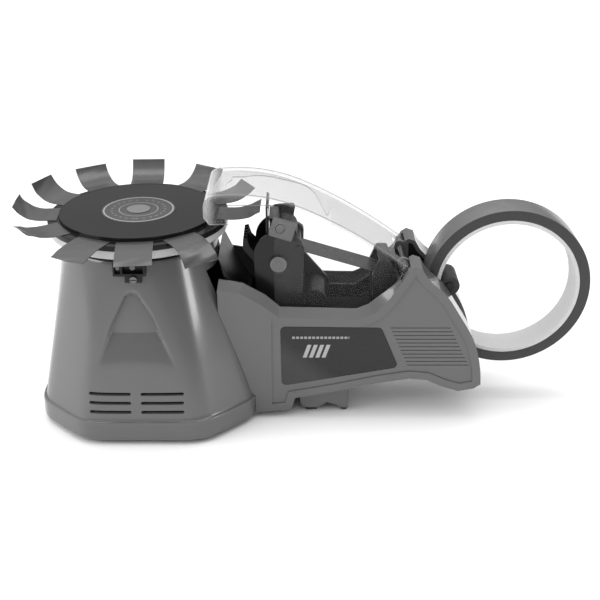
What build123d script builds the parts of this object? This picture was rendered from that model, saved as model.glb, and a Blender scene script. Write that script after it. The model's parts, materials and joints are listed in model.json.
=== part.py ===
"""Automatic carousel tape dispenser: a motor feeds tape from a roll in the tail, a blade cuts it, and a
twelve-place carousel carries the cut strips round to the user.

Units are millimetres. The machine is laid out with the carousel's axis on x = 0, the roll towards +X, the
floor at z = 0 and the mid plane at y = 0. `save` moves everything so that the origin is the centre of
the bounding box at floor level.
"""

from build123d import *
from math import acos, atan2, cos, degrees, hypot, pi, radians, sin, tan
import os

# ------------------------------------------------------------------ driving dimensions
# tape and roll
TAPE_WIDTH = 19.0
FILM = 0.3              # thickness that loose tape is drawn with
CORE_BORE_R = 38.1      # three inch core
CORE_WALL = 2.2
ROLL_R = 46.1
ROLL_X, ROLL_Z = 204.9, 72.4

# carousel
DISC_TOP = 116.0
DISC_R = 43.1
DISC_THICK = 3.0
FLANGE_R = 49.5
FLANGE_DROP = 2.2       # flange's face below the disc's face
FLANGE_THICK = 3.0
LABEL_R = 20.3
PLACES = 12             # strips that the carousel can carry
STRIP_REACH = 69.0
STRIP_START_R = 43.6
STRIP_FLAT_R = 51.5     # a strip lies flat out to here, then curls

# tower
TOWER_TOP = 102.0
TOWER_TOP_R = 42.0
TOWER_WALL = 2.4
SKIRT_TOP = 14.5        # top of the plinth, where the body steps in by the ledge
LEDGE = 1.6
CHAMFER_SHARE = 0.65    # how far the octagon's corners are cut back
CORNER_POWER = 24       # how crisp its corners are
FOOT_H = 3.0
BASE_X = 3.7            # centre of the tower's foot print
BASE_HALF_X = 61.0
BASE_HALF_Y = 58.0

# arm and tail
ARM_HALF = 29.0         # half width over the side walls
ARM_WALL = 4.0
SLOT_HALF = 11.6        # half of the gap that the roll stands in
FIN_FRONT = 148.5
SHELL_WALL = 2.2

# clear cover
COVER_HALF = 24.0
COVER_WALL = 1.8
HINGE_X, HINGE_Z = 145.5, 89.5
HINGE_PIN_R = 1.25
COVER_OPEN = 62.0

# feeder
FEED_X, FEED_Z = 77.0, 90.0
FEED_R = 8.0
PINCH_R = 6.0
TAPE_SLOPE = 17.0       # degrees that the tape falls from the feeder to the guide roller
PLATE_IN, PLATE_T = 13.0, 2.0
GUIDE_R = 5.0
CUT_X = 71.9            # where the tape ends
CUT_STROKE = 4.0

# gears
GEAR_MODULE = 0.8
FEED_TEETH, MIDDLE_TEETH, FEED_PINION_TEETH = 24, 24, 12
SPINDLE_MODULE = 1.0
SPINDLE_TEETH, SPINDLE_PINION_TEETH = 40, 12

# clearances
RUN = 0.05              # shaft in a bearing or bush, on the radius
GAP = 0.3               # between curved faces of pieces that move apart
FIT = 0.15              # between a piece and the pocket it sits in

PARTS = {}


def keep(name, *solids):
    """Files one or more solids under a node's name."""
    PARTS.setdefault(name, []).extend(s for piece in solids for s in piece.solids())


# ------------------------------------------------------------------ small helpers
def box(x0, x1, y0, y1, z0, z1):
    """A block between two corners."""
    return Pos((x0 + x1) / 2, (y0 + y1) / 2, (z0 + z1) / 2) * Box(x1 - x0, y1 - y0, z1 - z0)


def rod_z(x, y, z0, z1, r):
    return Pos(x, y, (z0 + z1) / 2) * Cylinder(r, z1 - z0)


def rod_y(x, z, y0, y1, r):
    return Pos(x, (y0 + y1) / 2, z) * Rot(90, 0, 0) * Cylinder(r, y1 - y0)


def rod_x(y, z, x0, x1, r):
    return Pos((x0 + x1) / 2, y, z) * Rot(0, 90, 0) * Cylinder(r, x1 - x0)


def side_plate(outline, y0, y1):
    """Extrudes a face drawn in (x, z) from y0 to y1."""
    lying = Plane(origin=(0, y1, 0), x_dir=(1, 0, 0), z_dir=(0, -1, 0))
    return extrude(lying * outline, amount=y1 - y0)


def polygon(*points):
    """A face from (x, z) points."""
    return make_face(Polyline(*points, close=True))


def rounded(face, radius):
    return fillet(face.vertices(), radius)


def hull_of(*circles):
    """A plate outline: the convex hull of (x, z, r) circles."""
    return make_hull([Pos(x, z) * e for x, z, r in circles for e in Circle(r).edges()])


def pan_screw(x, y, z, head_r=2.4, shank=5.0, out=1):
    """A pan head screw along Z whose head seats at the given point, facing up, or down if out is -1."""
    head = Cylinder(head_r, 1.6, align=(Align.CENTER, Align.CENTER, Align.MIN))
    head = fillet(head.edges().group_by(Axis.Z)[-1], 0.6)
    cross = Pos(0, 0, 1.2) * (Box(2.6, 0.6, 1.0) + Box(0.6, 2.6, 1.0))
    stem = Pos(0, 0, -shank / 2) * Cylinder(head_r * 0.5, shank)
    return Pos(x, y, z) * Rot(0 if out > 0 else 180, 0, 0) * (head + stem - cross)


def involute_gear(teeth, module, width, bore, turn=0.0, backlash=0.16):
    """A spur gear about Z from z = 0: involute flanks at 20 degrees, thinned by the backlash."""
    pitch = teeth * module / 2
    base = pitch * cos(radians(20))
    tip, root = pitch + module * 0.92, pitch - module * 1.22
    half = pi / (2 * teeth) + (tan(radians(20)) - radians(20)) - backlash / (2 * pitch)
    flank = []
    for i in range(6):
        r = max(base, root) + (tip - max(base, root)) * i / 5
        a = acos(min(1.0, base / r))
        flank.append((r, half - (tan(a) - a)))
    step = 2 * pi / teeth
    outline = []
    for k in range(teeth):
        mid = k * step + radians(turn)
        at = lambda r, a: (r * cos(mid + a), r * sin(mid + a))
        right = [at(r, -a) for r, a in flank]
        left = [at(r, a) for r, a in reversed(flank)]
        outline += [at(root, -flank[0][1] - 0.006)] + right + left + [at(root, flank[0][1] + 0.006)]
    return extrude(make_face(Polyline(*outline, close=True)) - Circle(bore), width)


def seat_on_y(gear, x, z, y0):
    """Turns a gear made about Z onto an axis along +Y, its near face at y0."""
    return Pos(x, y0, z) * Rot(-90, 0, 0) * gear


def polar(x, z, r, angle):
    return (x + r * cos(radians(angle)), z + r * sin(radians(angle)))


# ------------------------------------------------------------------ places worked out from the dimensions
CORE_R = CORE_BORE_R + CORE_WALL
FLANGE_TOP = DISC_TOP - FLANGE_DROP
HALF_TAPE = TAPE_WIDTH / 2
TAPE_OFF = GAP + FILM / 2                       # tape's centre line above a roller's face
UP = (sin(radians(TAPE_SLOPE)), cos(radians(TAPE_SLOPE)))      # square to the falling tape
ALONG = (UP[1], -UP[0])                          # down the tape, towards the roll
NIP = (FEED_X + (FEED_R + TAPE_OFF) * UP[0], FEED_Z + (FEED_R + TAPE_OFF) * UP[1])
PINCH_RISE = FEED_R + 2 * TAPE_OFF + PINCH_R
PINCH_X, PINCH_Z = FEED_X + PINCH_RISE * UP[0], FEED_Z + PINCH_RISE * UP[1]
PIVOT_X, PIVOT_Z = PINCH_X + 6.4, PINCH_Z - 5.2  # the pinch lever's pivot
GUIDE_RUN = 62.0                                 # tape from the nip to the guide roller
GUIDE_X = NIP[0] + GUIDE_RUN * ALONG[0] - (GUIDE_R + TAPE_OFF) * UP[0]
GUIDE_Z = NIP[1] + GUIDE_RUN * ALONG[1] - (GUIDE_R + TAPE_OFF) * UP[1]
NOSE_R = 2.2
BLADE_Z = 115.8                                  # the moving blade's edge at rest
NOSE_X = CUT_X + NOSE_R + 0.8
NOSE_Z = FLANGE_TOP + FILM / 2 - NOSE_R - TAPE_OFF
SPINDLE_R = 4.0
GEAR_Z0, GEAR_W = 76.0, 4.0
MOTOR_ANGLE = 218.0
SPINDLE_CENTRES = (SPINDLE_TEETH + SPINDLE_PINION_TEETH) * SPINDLE_MODULE / 2
MOTOR_X, MOTOR_Y = polar(0, 0, SPINDLE_CENTRES, MOTOR_ANGLE)
MIDDLE_ANGLE, PINION_ANGLE = -68.0, -33.0        # where the gear train goes from the feed shaft
MIDDLE_X, MIDDLE_Z = polar(FEED_X, FEED_Z, (FEED_TEETH + MIDDLE_TEETH) * GEAR_MODULE / 2, MIDDLE_ANGLE)
PINION_X, PINION_Z = polar(MIDDLE_X, MIDDLE_Z,
                           (MIDDLE_TEETH + FEED_PINION_TEETH) * GEAR_MODULE / 2, PINION_ANGLE)
IDLER_R, SUPPORT_R = 5.5, 5.0
IDLER_X, IDLER_Z = polar(ROLL_X, ROLL_Z, CORE_BORE_R - GAP - IDLER_R, 178)
SUPPORT_X, SUPPORT_Z = polar(ROLL_X, ROLL_Z, ROLL_R + GAP + SUPPORT_R, 238)
ARM_PIVOT_X, ARM_PIVOT_Z = 163.0, 50.0
DECK_FLOOR = 50.0
YOKE_X0, YOKE_X1 = CUT_X - 1.7, CUT_X - 0.7
YOKE_TOP = 121.4
BLADE_GAP = 0.1                                  # between the moving and the fixed edge
SHAFT_R = 2.0


# ------------------------------------------------------------------ tower
def octagon_ring(z, half_x, half_y, mid_x, round_share, inset):
    """A face at height z: an octagon with soft corners, blended with an ellipse by round_share."""
    points = []
    for i in range(64):
        a = 2 * pi * i / 64
        u, v = cos(a), sin(a)
        sides = [abs(u) / half_x, abs(v) / half_y, (abs(u) / half_x + abs(v) / half_y) * CHAMFER_SHARE]
        flat = sum(s ** CORNER_POWER for s in sides) ** (-1 / CORNER_POWER)
        ring = 1 / hypot(u / half_x, v / half_y)
        r = flat + (ring - flat) * round_share - inset
        points.append((mid_x + r * u, r * v))
    return Pos(0, 0, z) * make_face(Spline(*points, periodic=True))


def tower_section(z, inset):
    """One level of the tower: an octagon above the plinth that turns into a circle at the top."""
    share = min(1.0, max(0.0, (z - SKIRT_TOP) / (TOWER_TOP - SKIRT_TOP)))
    half_x = BASE_HALF_X - LEDGE + (TOWER_TOP_R - BASE_HALF_X + LEDGE) * share
    half_y = BASE_HALF_Y - LEDGE + (TOWER_TOP_R - BASE_HALF_Y + LEDGE) * share
    return octagon_ring(z, half_x, half_y, BASE_X * (1 - share), share ** 1.5, inset)


def plinth_section(z, inset):
    return octagon_ring(z, BASE_HALF_X, BASE_HALF_Y, BASE_X, 0.0, inset)


def tower_body(inset, z0, z1, plinth_top):
    """A solid of the tower's outside, drawn in by the inset, between two heights."""
    levels = [SKIRT_TOP] + [z for z in (36.0, 58.0, 80.0) if z < z1] + [z1]
    body = loft([tower_section(z, inset) for z in levels])
    body += extrude(tower_section(SKIRT_TOP, inset), -(SKIRT_TOP - plinth_top + 0.5))
    return body + extrude(plinth_section(z0, inset), plinth_top - z0)


def vent_slots():
    """Two columns of three cooling slots low on the tower's front."""
    cut = None
    for x0, x1 in ((-25.2, -2.4), (2.8, 26.2)):
        for row in range(3):
            z = 19.5 + row * 5.1
            slot = box(x0, x1, -BASE_HALF_Y - 2, -BASE_HALF_Y + 12, z - 0.9, z + 0.9)
            cut = slot if cut is None else cut + slot
    return cut


def make_tower():
    outside = tower_body(0, FOOT_H, TOWER_TOP, SKIRT_TOP)
    inside = tower_body(TOWER_WALL, FOOT_H - 1, TOWER_TOP - 6.5, SKIRT_TOP - TOWER_WALL)
    throat = rod_z(0, 0, TOWER_TOP - 7, TOWER_TOP + 1, TOWER_TOP_R - 6.5)
    seat = rod_z(0, 0, TOWER_TOP - 4, TOWER_TOP + 1, TOWER_TOP_R - 2.5)
    shell = outside - inside - throat - seat - vent_slots()
    # the pickup sensor's notch in the front rim, and the way through to the arm
    shell -= box(-SENSOR_HALF - FIT, SENSOR_HALF + FIT, -50, -30, SENSOR_Z0 - FIT, TOWER_TOP + 1)
    shell -= box(30, 90, -ARM_HALF + ARM_WALL, ARM_HALF - ARM_WALL, 8, TOWER_TOP - 12)
    keep("tower_shell", shell)


SENSOR_HALF, SENSOR_Z0, SENSOR_Z1 = 8.5, 95.5, 104.3


def make_sensor():
    """The pickup sensor in the tower's front rim: it sees whether a strip is waiting."""
    y0, y1 = -TOWER_TOP_R - 3.5, -TOWER_TOP_R + 7.0
    body = box(-SENSOR_HALF, SENSOR_HALF, y0, y1, SENSOR_Z0, SENSOR_Z1)
    body -= box(-SENSOR_HALF + 5, SENSOR_HALF - 1.2, y0 - 1, y0 + 3.5, SENSOR_Z0 + 1.4, SENSOR_Z1 - 1.2)
    body -= box(-SENSOR_HALF + 1.0, -SENSOR_HALF + 4, y0 - 1, y0 + 2.0, SENSOR_Z0 + 1.4, SENSOR_Z1 - 1.2)
    body += box(-2.5, 6.5, y0, y0 + 1.6, SENSOR_Z0 - 3.6, SENSOR_Z0)
    body -= rod_y(2.1, SENSOR_Z0 - 1.6, y0 - 1, y0 + 3, 1.2)
    keep("pickup_sensor", body)
    lens_y = y0 + 2.0
    keep("sensor_lens",
         Pos(-SENSOR_HALF + 2.5, lens_y, SENSOR_Z0 + 4.2) * Rot(90, 0, 0)
         * Cylinder(1.1, 1.2, align=(Align.CENTER, Align.CENTER, Align.MIN)),
         rod_y(1.6, SENSOR_Z0 + 4.2, y0 + 1.7, y0 + 3.5, 1.5))
    head = rod_y(2.1, SENSOR_Z0 - 1.6, y0 - 1.2, y0, 1.9) + rod_y(2.1, SENSOR_Z0 - 1.6, y0, y0 + 1.5, 1.1)
    keep("screws", head - box(-0.2, 4.4, y0 - 1.3, y0 - 0.7, SENSOR_Z0 - 1.9, SENSOR_Z0 - 1.3))


# ------------------------------------------------------------------ base
def make_base():
    plate = extrude(plinth_section(FOOT_H, TOWER_WALL + FIT), 3.0)
    for x, y in BOARD_POSTS:
        plate += rod_z(x, y, FOOT_H + 3, BOARD_Z, 3.0)
        plate -= rod_z(x, y, BOARD_Z - 4, BOARD_Z + 1, THREAD_R)
    for x, y in BASE_SCREWS:
        plate -= rod_z(x, y, 0, FOOT_H + 4, THREAD_R)
    keep("base_plate", plate)
    feet = []
    for x in (BASE_X - 34, BASE_X + 34):
        for y in (-36, 36):
            pad = Pos(x, y, 0) * Cylinder(7.0, FOOT_H, align=(Align.CENTER, Align.CENTER, Align.MIN))
            feet.append(fillet(pad.edges().group_by(Axis.Z)[0], 1.0))
    for x, wide in ((LEG_X - 0.5, 7.0), (LEG_X + 18.2, 3.8)):
        rear = Pos(x, 0, 0) * Box(wide, 40, FOOT_H, align=(Align.CENTER, Align.CENTER, Align.MIN))
        feet.append(fillet(rear.edges().filter_by(Axis.Z), 1.5))
    keep("rubber_feet", *feet)


BOARD_Z = 12.0
THREAD_R = 1.12
BASE_SCREWS = [(BASE_X + x, y) for x in (-44, 40) for y in (-18, 18)]
BOARD_POSTS = [(-22, -30), (-22, 30), (24, -30), (24, 30)]
LEG_X = 96.0
LEG_HALF = 23.0


def make_electronics():
    board = Pos(1, 0, BOARD_Z + 0.8) * Box(56, 70, 1.6)
    for x, y in BOARD_POSTS:
        board -= rod_z(x, y, BOARD_Z - 1, BOARD_Z + 3, 1.6)
    keep("control_board", board)
    keep("screws", *[pan_screw(x, y, BOARD_Z + 1.6, shank=5.0, head_r=2.2) for x, y in BOARD_POSTS])
    top = BOARD_Z + 1.6
    keep("board_parts",
         box(-8, 6, -8, 8, top, top + 2.0),
         box(12, 22, -22, -10, top, top + 9.0),
         box(12, 24, 8, 20, top, top + 6.0),
         rod_z(-14, 16, top, top + 12, 4.0),
         rod_z(-14, -18, top, top + 12, 4.0),
         box(-6, 6, 22, 28, top, top + 6.5))


# ------------------------------------------------------------------ arm and tail
RIM = [(44, 3.2), (44, 80.0), (56, 78.0), (67, 71.5), (76.8, 63.6), (110, 62.4), (121, 62.4)]
CLIMB = [(121, 62.4), (129.6, 66.2), (137.6, 75.0), (143.6, 84.6)]
PEAK = [(143.6, 84.6), (147.6, 91.6), (150.6, 93.6), (154.6, 92.2), (157.4, 87.2), (161.6, 82.8)]
REAR = [(161.6, 82.8), (168.0, 77.0), (176.0, 65.0), (184.2, 50.8), (188.8, 36.0), (190.4, 21.6)]
TOE = [(190.4, 21.6), (186.6, 19.0), (178.0, 17.4), (168.6, 20.4), (160.0, 24.4), (150.0, 25.4)]
UNDER = [(150.0, 25.4), (132.0, 22.4), (108.0, 17.0), (86.0, 12.8), (84.0, 5.6), (64.0, 3.2), (44, 3.2)]


def drawn_in(points, inset):
    """Moves each corner of a clockwise outline inwards so that every side shifts by the inset."""
    moved = []
    for i, (x, z) in enumerate(points):
        (px, pz), (nx, nz) = points[i - 1], points[(i + 1) % len(points)]
        ax, az = x - px, z - pz
        bx, bz = nx - x, nz - z
        la, lb = hypot(ax, az), hypot(bx, bz)
        ux, uz = az / la + bz / lb, -ax / la - bx / lb
        size = hypot(ux, uz)
        scale = 2 * inset / (size * size)
        moved.append((x + ux * scale, z + uz * scale))
    return moved


def arm_outline(inset=0.0):
    """The side wall seen square on: rim, tail peak, swept rear edge and rising underside."""
    runs = [RIM, CLIMB, PEAK, REAR, TOE, UNDER]
    flat = [p for run in runs for p in run[:-1]]
    moved = drawn_in(flat, inset) if inset else flat
    edges, at = [], 0
    for run in runs:
        count = len(run) - 1
        part = [moved[(at + i) % len(moved)] for i in range(count + 1)]
        curved = run in (CLIMB, REAR)
        edges += Spline(*part).edges() if curved else Polyline(*part).edges()
        at += count
    return make_face(Wire(edges))


def fin_outline(inset):
    """The tail fin's block behind the cover, drawn in by the inset."""
    return arm_outline(inset) & Pos((FIN_FRONT + inset + 200) / 2, 50) * Rectangle(200 - FIN_FRONT - inset, 120)


LABEL = [(78.0, 57.6), (133.6, 57.0), (143.8, 32.4), (78.6, 20.6)]
LABEL_T = 0.8


def label_outline(grow=0.0):
    face = rounded(polygon(*LABEL), 2.6)
    return offset(face, grow) if grow else face


def grip_grooves(y0, y1):
    """Eleven fine grooves on the tail's side, each a little further back than the one above."""
    cut = None
    for i in range(11):
        z = 57.0 - i * 2.32
        groove = box(138.6 + i * 1.02, 171.6 + i * 1.12, y0, y1, z - 0.35, z + 0.35)
        cut = groove if cut is None else cut + groove
    return cut


SHOULDERS = [5.2, 5.2, 5.2, 5.2, 5.2, 5.2, 5.2, 3.8, 0.4]     # rise of the shoulder at each point of the rim


def rim_shoulder():
    """The sloping shoulder on a side wall: a wedge carried along the rim and up the climb."""
    line = RIM[1:] + CLIMB[1:]
    low, high = -ARM_HALF, -ARM_HALF + ARM_WALL
    sections = []
    for i, (x, z) in enumerate(line):
        (px, pz), (nx, nz) = line[max(i - 1, 0)], line[min(i + 1, len(line) - 1)]
        dx, dz = nx - px, nz - pz
        size = hypot(dx, dz)
        corners = []
        for t, y in ((-2.0, low), (-2.0, high), (SHOULDERS[i], high), (SHOULDERS[i], high - 0.9), (0.0, low)):
            corners.append((x - t * dz / size, y, z + t * dx / size))
        sections.append(make_face(Polyline(*corners, close=True)))
    return loft(sections, ruled=True)


def arm_shell(side):
    """One side moulding: wall, shoulder, hollow fin, and the ear that carries the cover's hinge pin."""
    wall = side_plate(arm_outline(), -ARM_HALF, -ARM_HALF + ARM_WALL) + rim_shoulder()
    fin = side_plate(fin_outline(0), -ARM_HALF + ARM_WALL, -SLOT_HALF)
    hollow = side_plate(fin_outline(SHELL_WALL), -ARM_HALF + SHELL_WALL, -SLOT_HALF + 1)
    shell = wall + fin - hollow
    # the field inside the border band sits a little deeper
    field = arm_outline(4.6) & Pos(131, 50) * Rectangle(116, 120)
    shell -= side_plate(field, -ARM_HALF - 1, -ARM_HALF + 0.7)
    shell -= side_plate(label_outline(FIT), -ARM_HALF, -ARM_HALF + 0.7 + LABEL_T)
    shell -= grip_grooves(-ARM_HALF, -ARM_HALF + 1.15)
    ear = hull_of((HINGE_X, HINGE_Z, 3.0), (FIN_FRONT + 1, HINGE_Z - 5, 1.2), (FIN_FRONT + 1, HINGE_Z, 1.2))
    shell += side_plate(ear, -SLOT_HALF - 2.6, -SLOT_HALF)
    shell -= rod_y(HINGE_X, HINGE_Z, -SLOT_HALF - 3, -SLOT_HALF + 1, HINGE_PIN_R + RUN)
    shell -= tower_body(-0.2, FOOT_H - 1, TOWER_TOP, SKIRT_TOP + 0.2)
    shell = shell.solids().sort_by(SortBy.VOLUME)[-1]
    return shell if side < 0 else mirror(shell, Plane.XZ)


def make_arm():
    near, far = arm_shell(-1), arm_shell(1)
    # the far wall carries the controls
    far -= rod_y(JACK_X, JACK_Z, 20, 40, 5.5 + FIT)
    far -= box(SWITCH_X - 7, SWITCH_X + 7, 20, 40, SWITCH_Z - 10.2, SWITCH_Z + 10.2)
    far -= rod_y(DIAL_X, DIAL_Z, 20, 40, 3.2)
    keep("arm_shell_near", near)
    keep("arm_shell_far", far)
    keep("side_labels", side_plate(label_outline(), -ARM_HALF + 0.7, -ARM_HALF + 0.7 + LABEL_T - 0.05))
    plate = mirror(side_plate(label_outline(), -ARM_HALF + 0.7, -ARM_HALF + 0.7 + LABEL_T - 0.05), Plane.XZ)
    plate -= rod_y(JACK_X, JACK_Z, 20, 40, 5.5 + FIT)
    plate -= box(SWITCH_X - 7, SWITCH_X + 7, 20, 40, SWITCH_Z - 10.2, SWITCH_Z + 10.2)
    plate -= rod_y(DIAL_X, DIAL_Z, 20, 40, 3.2)
    keep("side_labels", plate)
    # underside between the two walls, with the rear leg
    strip = polygon((66, 3.4), (84.2, 3.4), (86.4, 13.0), (108, 17.2), (132, 22.6), (147, 25.1),
                    (147, 27.6), (132, 25.1), (108, 19.7), (84.0, 15.5), (82.0, 5.9), (66, 5.9))
    half = ARM_HALF - ARM_WALL - FIT
    under = side_plate(strip, -half, half)
    leg = polygon((LEG_X - 8, 15.0), (LEG_X - 7, 6.0), (LEG_X - 4.5, FOOT_H), (LEG_X + 3.5, FOOT_H), (LEG_X + 8, 6.4),
                  (LEG_X + 13.5, 5.0), (LEG_X + 16, FOOT_H), (LEG_X + 20.5, FOOT_H), (LEG_X + 19.5, 20.0))
    under += side_plate(leg, -LEG_HALF, LEG_HALF)
    under -= side_plate(polygon((LEG_X - 5.5, 15.0), (LEG_X - 5.5, FOOT_H + 2), (LEG_X + 17.5, FOOT_H + 3),
                                (LEG_X + 17.5, 17.2)), -LEG_HALF + 2, LEG_HALF - 2)
    under -= tower_body(-0.2, FOOT_H - 1, TOWER_TOP, SKIRT_TOP + 0.2)
    keep("arm_underside", under.solids().sort_by(SortBy.VOLUME)[-1])


def deck_outline():
    """The black tray under the feeder, seen from the side."""
    return polygon((44.5, 96.5), (58.5, 66.5), (66, 61.6), (122, 60.6), (131, 67), (141.5, 82.0),
                   (147.2, 88.0), (147.2, DECK_FLOOR), (56, DECK_FLOOR))


def make_deck():
    half = ARM_HALF - ARM_WALL - FIT
    deck = side_plate(deck_outline(), -half, half)
    inner = polygon((40, 106), (47.0, 97.5), (61, 67.8), (61, DECK_FLOOR + 2), (144.7, DECK_FLOOR + 2),
                    (144.7, 110))
    deck -= side_plate(inner, -half + 1.2, half - 1.2)
    # the tape's way out to the roll, and the cover's knuckles
    deck -= box(143, 150, -SLOT_HALF, SLOT_HALF, DECK_FLOOR + 6, 100)
    deck -= box(141, 150, -half - 1, half + 1, 82.0, 100)
    # cover's seat: the side walls stop below it
    for y in (-half, half - 1.2):
        deck -= side_plate(polygon((40, 110), (40, 76), (62, 68), (72, 60.2), (121.5, 59.2), (130, 65.4),
                                   (140.2, 80.0), (150, 90), (150, 110)), y - 0.5, y + 1.7)
    deck -= tower_body(-0.2, FOOT_H - 1, TOWER_TOP, SKIRT_TOP + 0.2)
    keep("feed_tray", deck.solids().sort_by(SortBy.VOLUME)[-1])


# ------------------------------------------------------------------ controls on the far wall
JACK_X, JACK_Z = 88.0, 32.0
SWITCH_X, SWITCH_Z = 104.0, 38.0
DIAL_X, DIAL_Z = 122.0, 43.5
WALL_IN = ARM_HALF - ARM_WALL
JACK_BORE_R, JACK_BORE_L = 2.8, 9.0


def make_controls():
    face = ARM_HALF
    jack = rod_y(JACK_X, JACK_Z, WALL_IN - 8, face, 5.5) + rod_y(JACK_X, JACK_Z, WALL_IN - 3, WALL_IN - 0.1, 7.5)
    jack -= rod_y(JACK_X, JACK_Z, face - JACK_BORE_L, face + 1, JACK_BORE_R)
    keep("power_inlet", jack + rod_y(JACK_X, JACK_Z, WALL_IN - 10, face - 1.5, 1.0))
    frame = box(SWITCH_X - 6.8, SWITCH_X + 6.8, WALL_IN - 8, face, SWITCH_Z - 10, SWITCH_Z + 10)
    frame += box(SWITCH_X - 8, SWITCH_X + 8, face + 0.05, face + 1.4, SWITCH_Z - 11.2, SWITCH_Z + 11.2)
    frame += box(SWITCH_X - 6.8, SWITCH_X + 6.8, face - 0.1, face + 0.1, SWITCH_Z - 10, SWITCH_Z + 10)
    frame -= box(SWITCH_X - 5.4, SWITCH_X + 5.4, WALL_IN - 5, face + 2, SWITCH_Z - 8.6, SWITCH_Z + 8.6)
    frame -= rod_x(ROCKER_Y, SWITCH_Z, SWITCH_X - 6.3, SWITCH_X + 6.3, 1.0 + RUN)
    keep("switch_frame", frame)
    rocker = polygon((-8.0, -1.0), (8.0, -1.0), (8.0, 1.6), (0, 0.2), (-8.0, 1.6))
    key = extrude(Plane(origin=(SWITCH_X - 5.1, ROCKER_Y, SWITCH_Z), x_dir=(0, 0, 1), z_dir=(1, 0, 0))
                  * (Pos(0, 0) * rocker), 10.2)
    turned = Rot(ROCKER_TILT, 0, 0) * (Pos(-SWITCH_X, -ROCKER_Y, -SWITCH_Z) * key)
    key = Pos(SWITCH_X, ROCKER_Y, SWITCH_Z) * turned
    key += rod_x(ROCKER_Y, SWITCH_Z, SWITCH_X - 6.2, SWITCH_X + 6.2, 1.0)
    keep("power_rocker", key)
    shaft = rod_y(DIAL_X, DIAL_Z, WALL_IN - 2, face + 6, 3.0)
    knob = rod_y(DIAL_X, DIAL_Z, face + 0.6, face + 10, 8.5)
    knob = chamfer(knob.edges().group_by(Axis.Y)[-1], 1.0)
    for i in range(18):
        flute = Pos(DIAL_X, 0, DIAL_Z) * Rot(0, 20 * i, 0) * Pos(8.9, face + 6.5, 0) * Rot(90, 0, 0) * Cylinder(0.8, 9)
        knob -= flute
    knob -= box(DIAL_X - 0.5, DIAL_X + 0.5, face + 9.4, face + 11, DIAL_Z + 2, DIAL_Z + 8)
    keep("length_dial", knob + shaft)
    keep("dial_sensor", box(DIAL_X - 7, DIAL_X + 7, WALL_IN - 10, WALL_IN - 2.2, DIAL_Z - 6, DIAL_Z + 6)
         + (rod_y(DIAL_X, DIAL_Z, WALL_IN - 2.3, WALL_IN - 0.1, 5.0)
            - rod_y(DIAL_X, DIAL_Z, WALL_IN - 2.2, WALL_IN, 3.0 + RUN)))


ROCKER_Y = ARM_HALF + 0.6
ROCKER_TILT = 9.0


# ------------------------------------------------------------------ carousel
def make_carousel():
    disc = rod_z(0, 0, DISC_TOP - DISC_THICK, DISC_TOP, DISC_R)
    disc = chamfer(disc.edges().group_by(Axis.Z)[-1], 0.4)
    flange = rod_z(0, 0, FLANGE_TOP - FLANGE_THICK, FLANGE_TOP, FLANGE_R)
    flange = chamfer(flange.edges().group_by(Axis.Z)[-1], 0.3)
    hub = rod_z(0, 0, TOWER_TOP + 1.2, DISC_TOP - DISC_THICK, 12.0)
    disc = disc + flange + hub
    disc -= rod_z(0, 0, 90, DISC_TOP - 1.2, SPINDLE_R)
    disc -= rod_z(0, 0, DISC_TOP - 0.6, DISC_TOP + 1, LABEL_R + FIT)
    keep("carousel_disc", disc)
    badge = rod_z(0, 0, DISC_TOP - 0.6, DISC_TOP - 0.1, LABEL_R)
    badge += rod_z(0, 0, DISC_TOP - 0.2, DISC_TOP + 0.25, 6.6)
    keep("carousel_badge", badge)
    skirt = rod_z(0, 0, FLANGE_TOP - FLANGE_THICK - 5.2, FLANGE_TOP - FLANGE_THICK, FLANGE_R - 0.6)
    skirt -= rod_z(0, 0, FLANGE_TOP - FLANGE_THICK - 6, FLANGE_TOP - FLANGE_THICK + 1, FLANGE_R - 3.4)
    keep("carousel_skirt", fillet(skirt.edges().group_by(Axis.Z)[0].sort_by(SortBy.LENGTH)[-1], 1.2))
    keep("spindle", rod_z(0, 0, GEAR_Z0 - 0.5, DISC_TOP - 1.25, SPINDLE_R - 0.01))


# place round the carousel in degrees, and rise of the tip
STRIPS = [(-2, 5.0), (28, 6.0), (58, 8.0), (92, 9.5), (123, 9.5), (154, 9.5), (184, 8.5), (213, 4.0),
          (246, -2.5), (275, -3.0), (306, -8.0)]


def strip_face(rise):
    """Side outline of one strip: flat on the flange, then an arc that ends `rise` above the flat."""
    run = STRIP_REACH - STRIP_FLAT_R - abs(rise) * 0.35
    z = FILM / 2
    r = (run * run + rise * rise) / (2 * rise)
    sweep = 2 * atan2(rise, run)
    inner = Line((STRIP_START_R, FILM), (STRIP_FLAT_R, FILM))
    low = Line((STRIP_FLAT_R, 0), (STRIP_START_R, 0))
    centre = (STRIP_FLAT_R, z + r)

    def on_arc(radius, t):
        return (centre[0] + radius * sin(t), centre[1] - radius * cos(t))

    top_r, low_r = r - FILM / 2, r + FILM / 2
    top = ThreePointArc(on_arc(top_r, 0), on_arc(top_r, sweep / 2), on_arc(top_r, sweep))
    tip = Line(on_arc(top_r, sweep), on_arc(low_r, sweep))
    back = ThreePointArc(on_arc(low_r, sweep), on_arc(low_r, sweep / 2), on_arc(low_r, 0))
    close = Line((STRIP_START_R, 0), (STRIP_START_R, FILM))
    return make_face(Wire([inner.edge(), top.edge(), tip.edge(), back.edge(), low.edge(), close.edge()]))


def make_strips():
    solids = []
    for place, rise in STRIPS:
        flat = side_plate(strip_face(rise), -HALF_TAPE, HALF_TAPE)
        flat = Pos(0, 0, FLANGE_TOP + 0.02) * flat
        solids.append(Rot(0, 0, place) * flat)
    keep("tape_strips", *solids)


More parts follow.
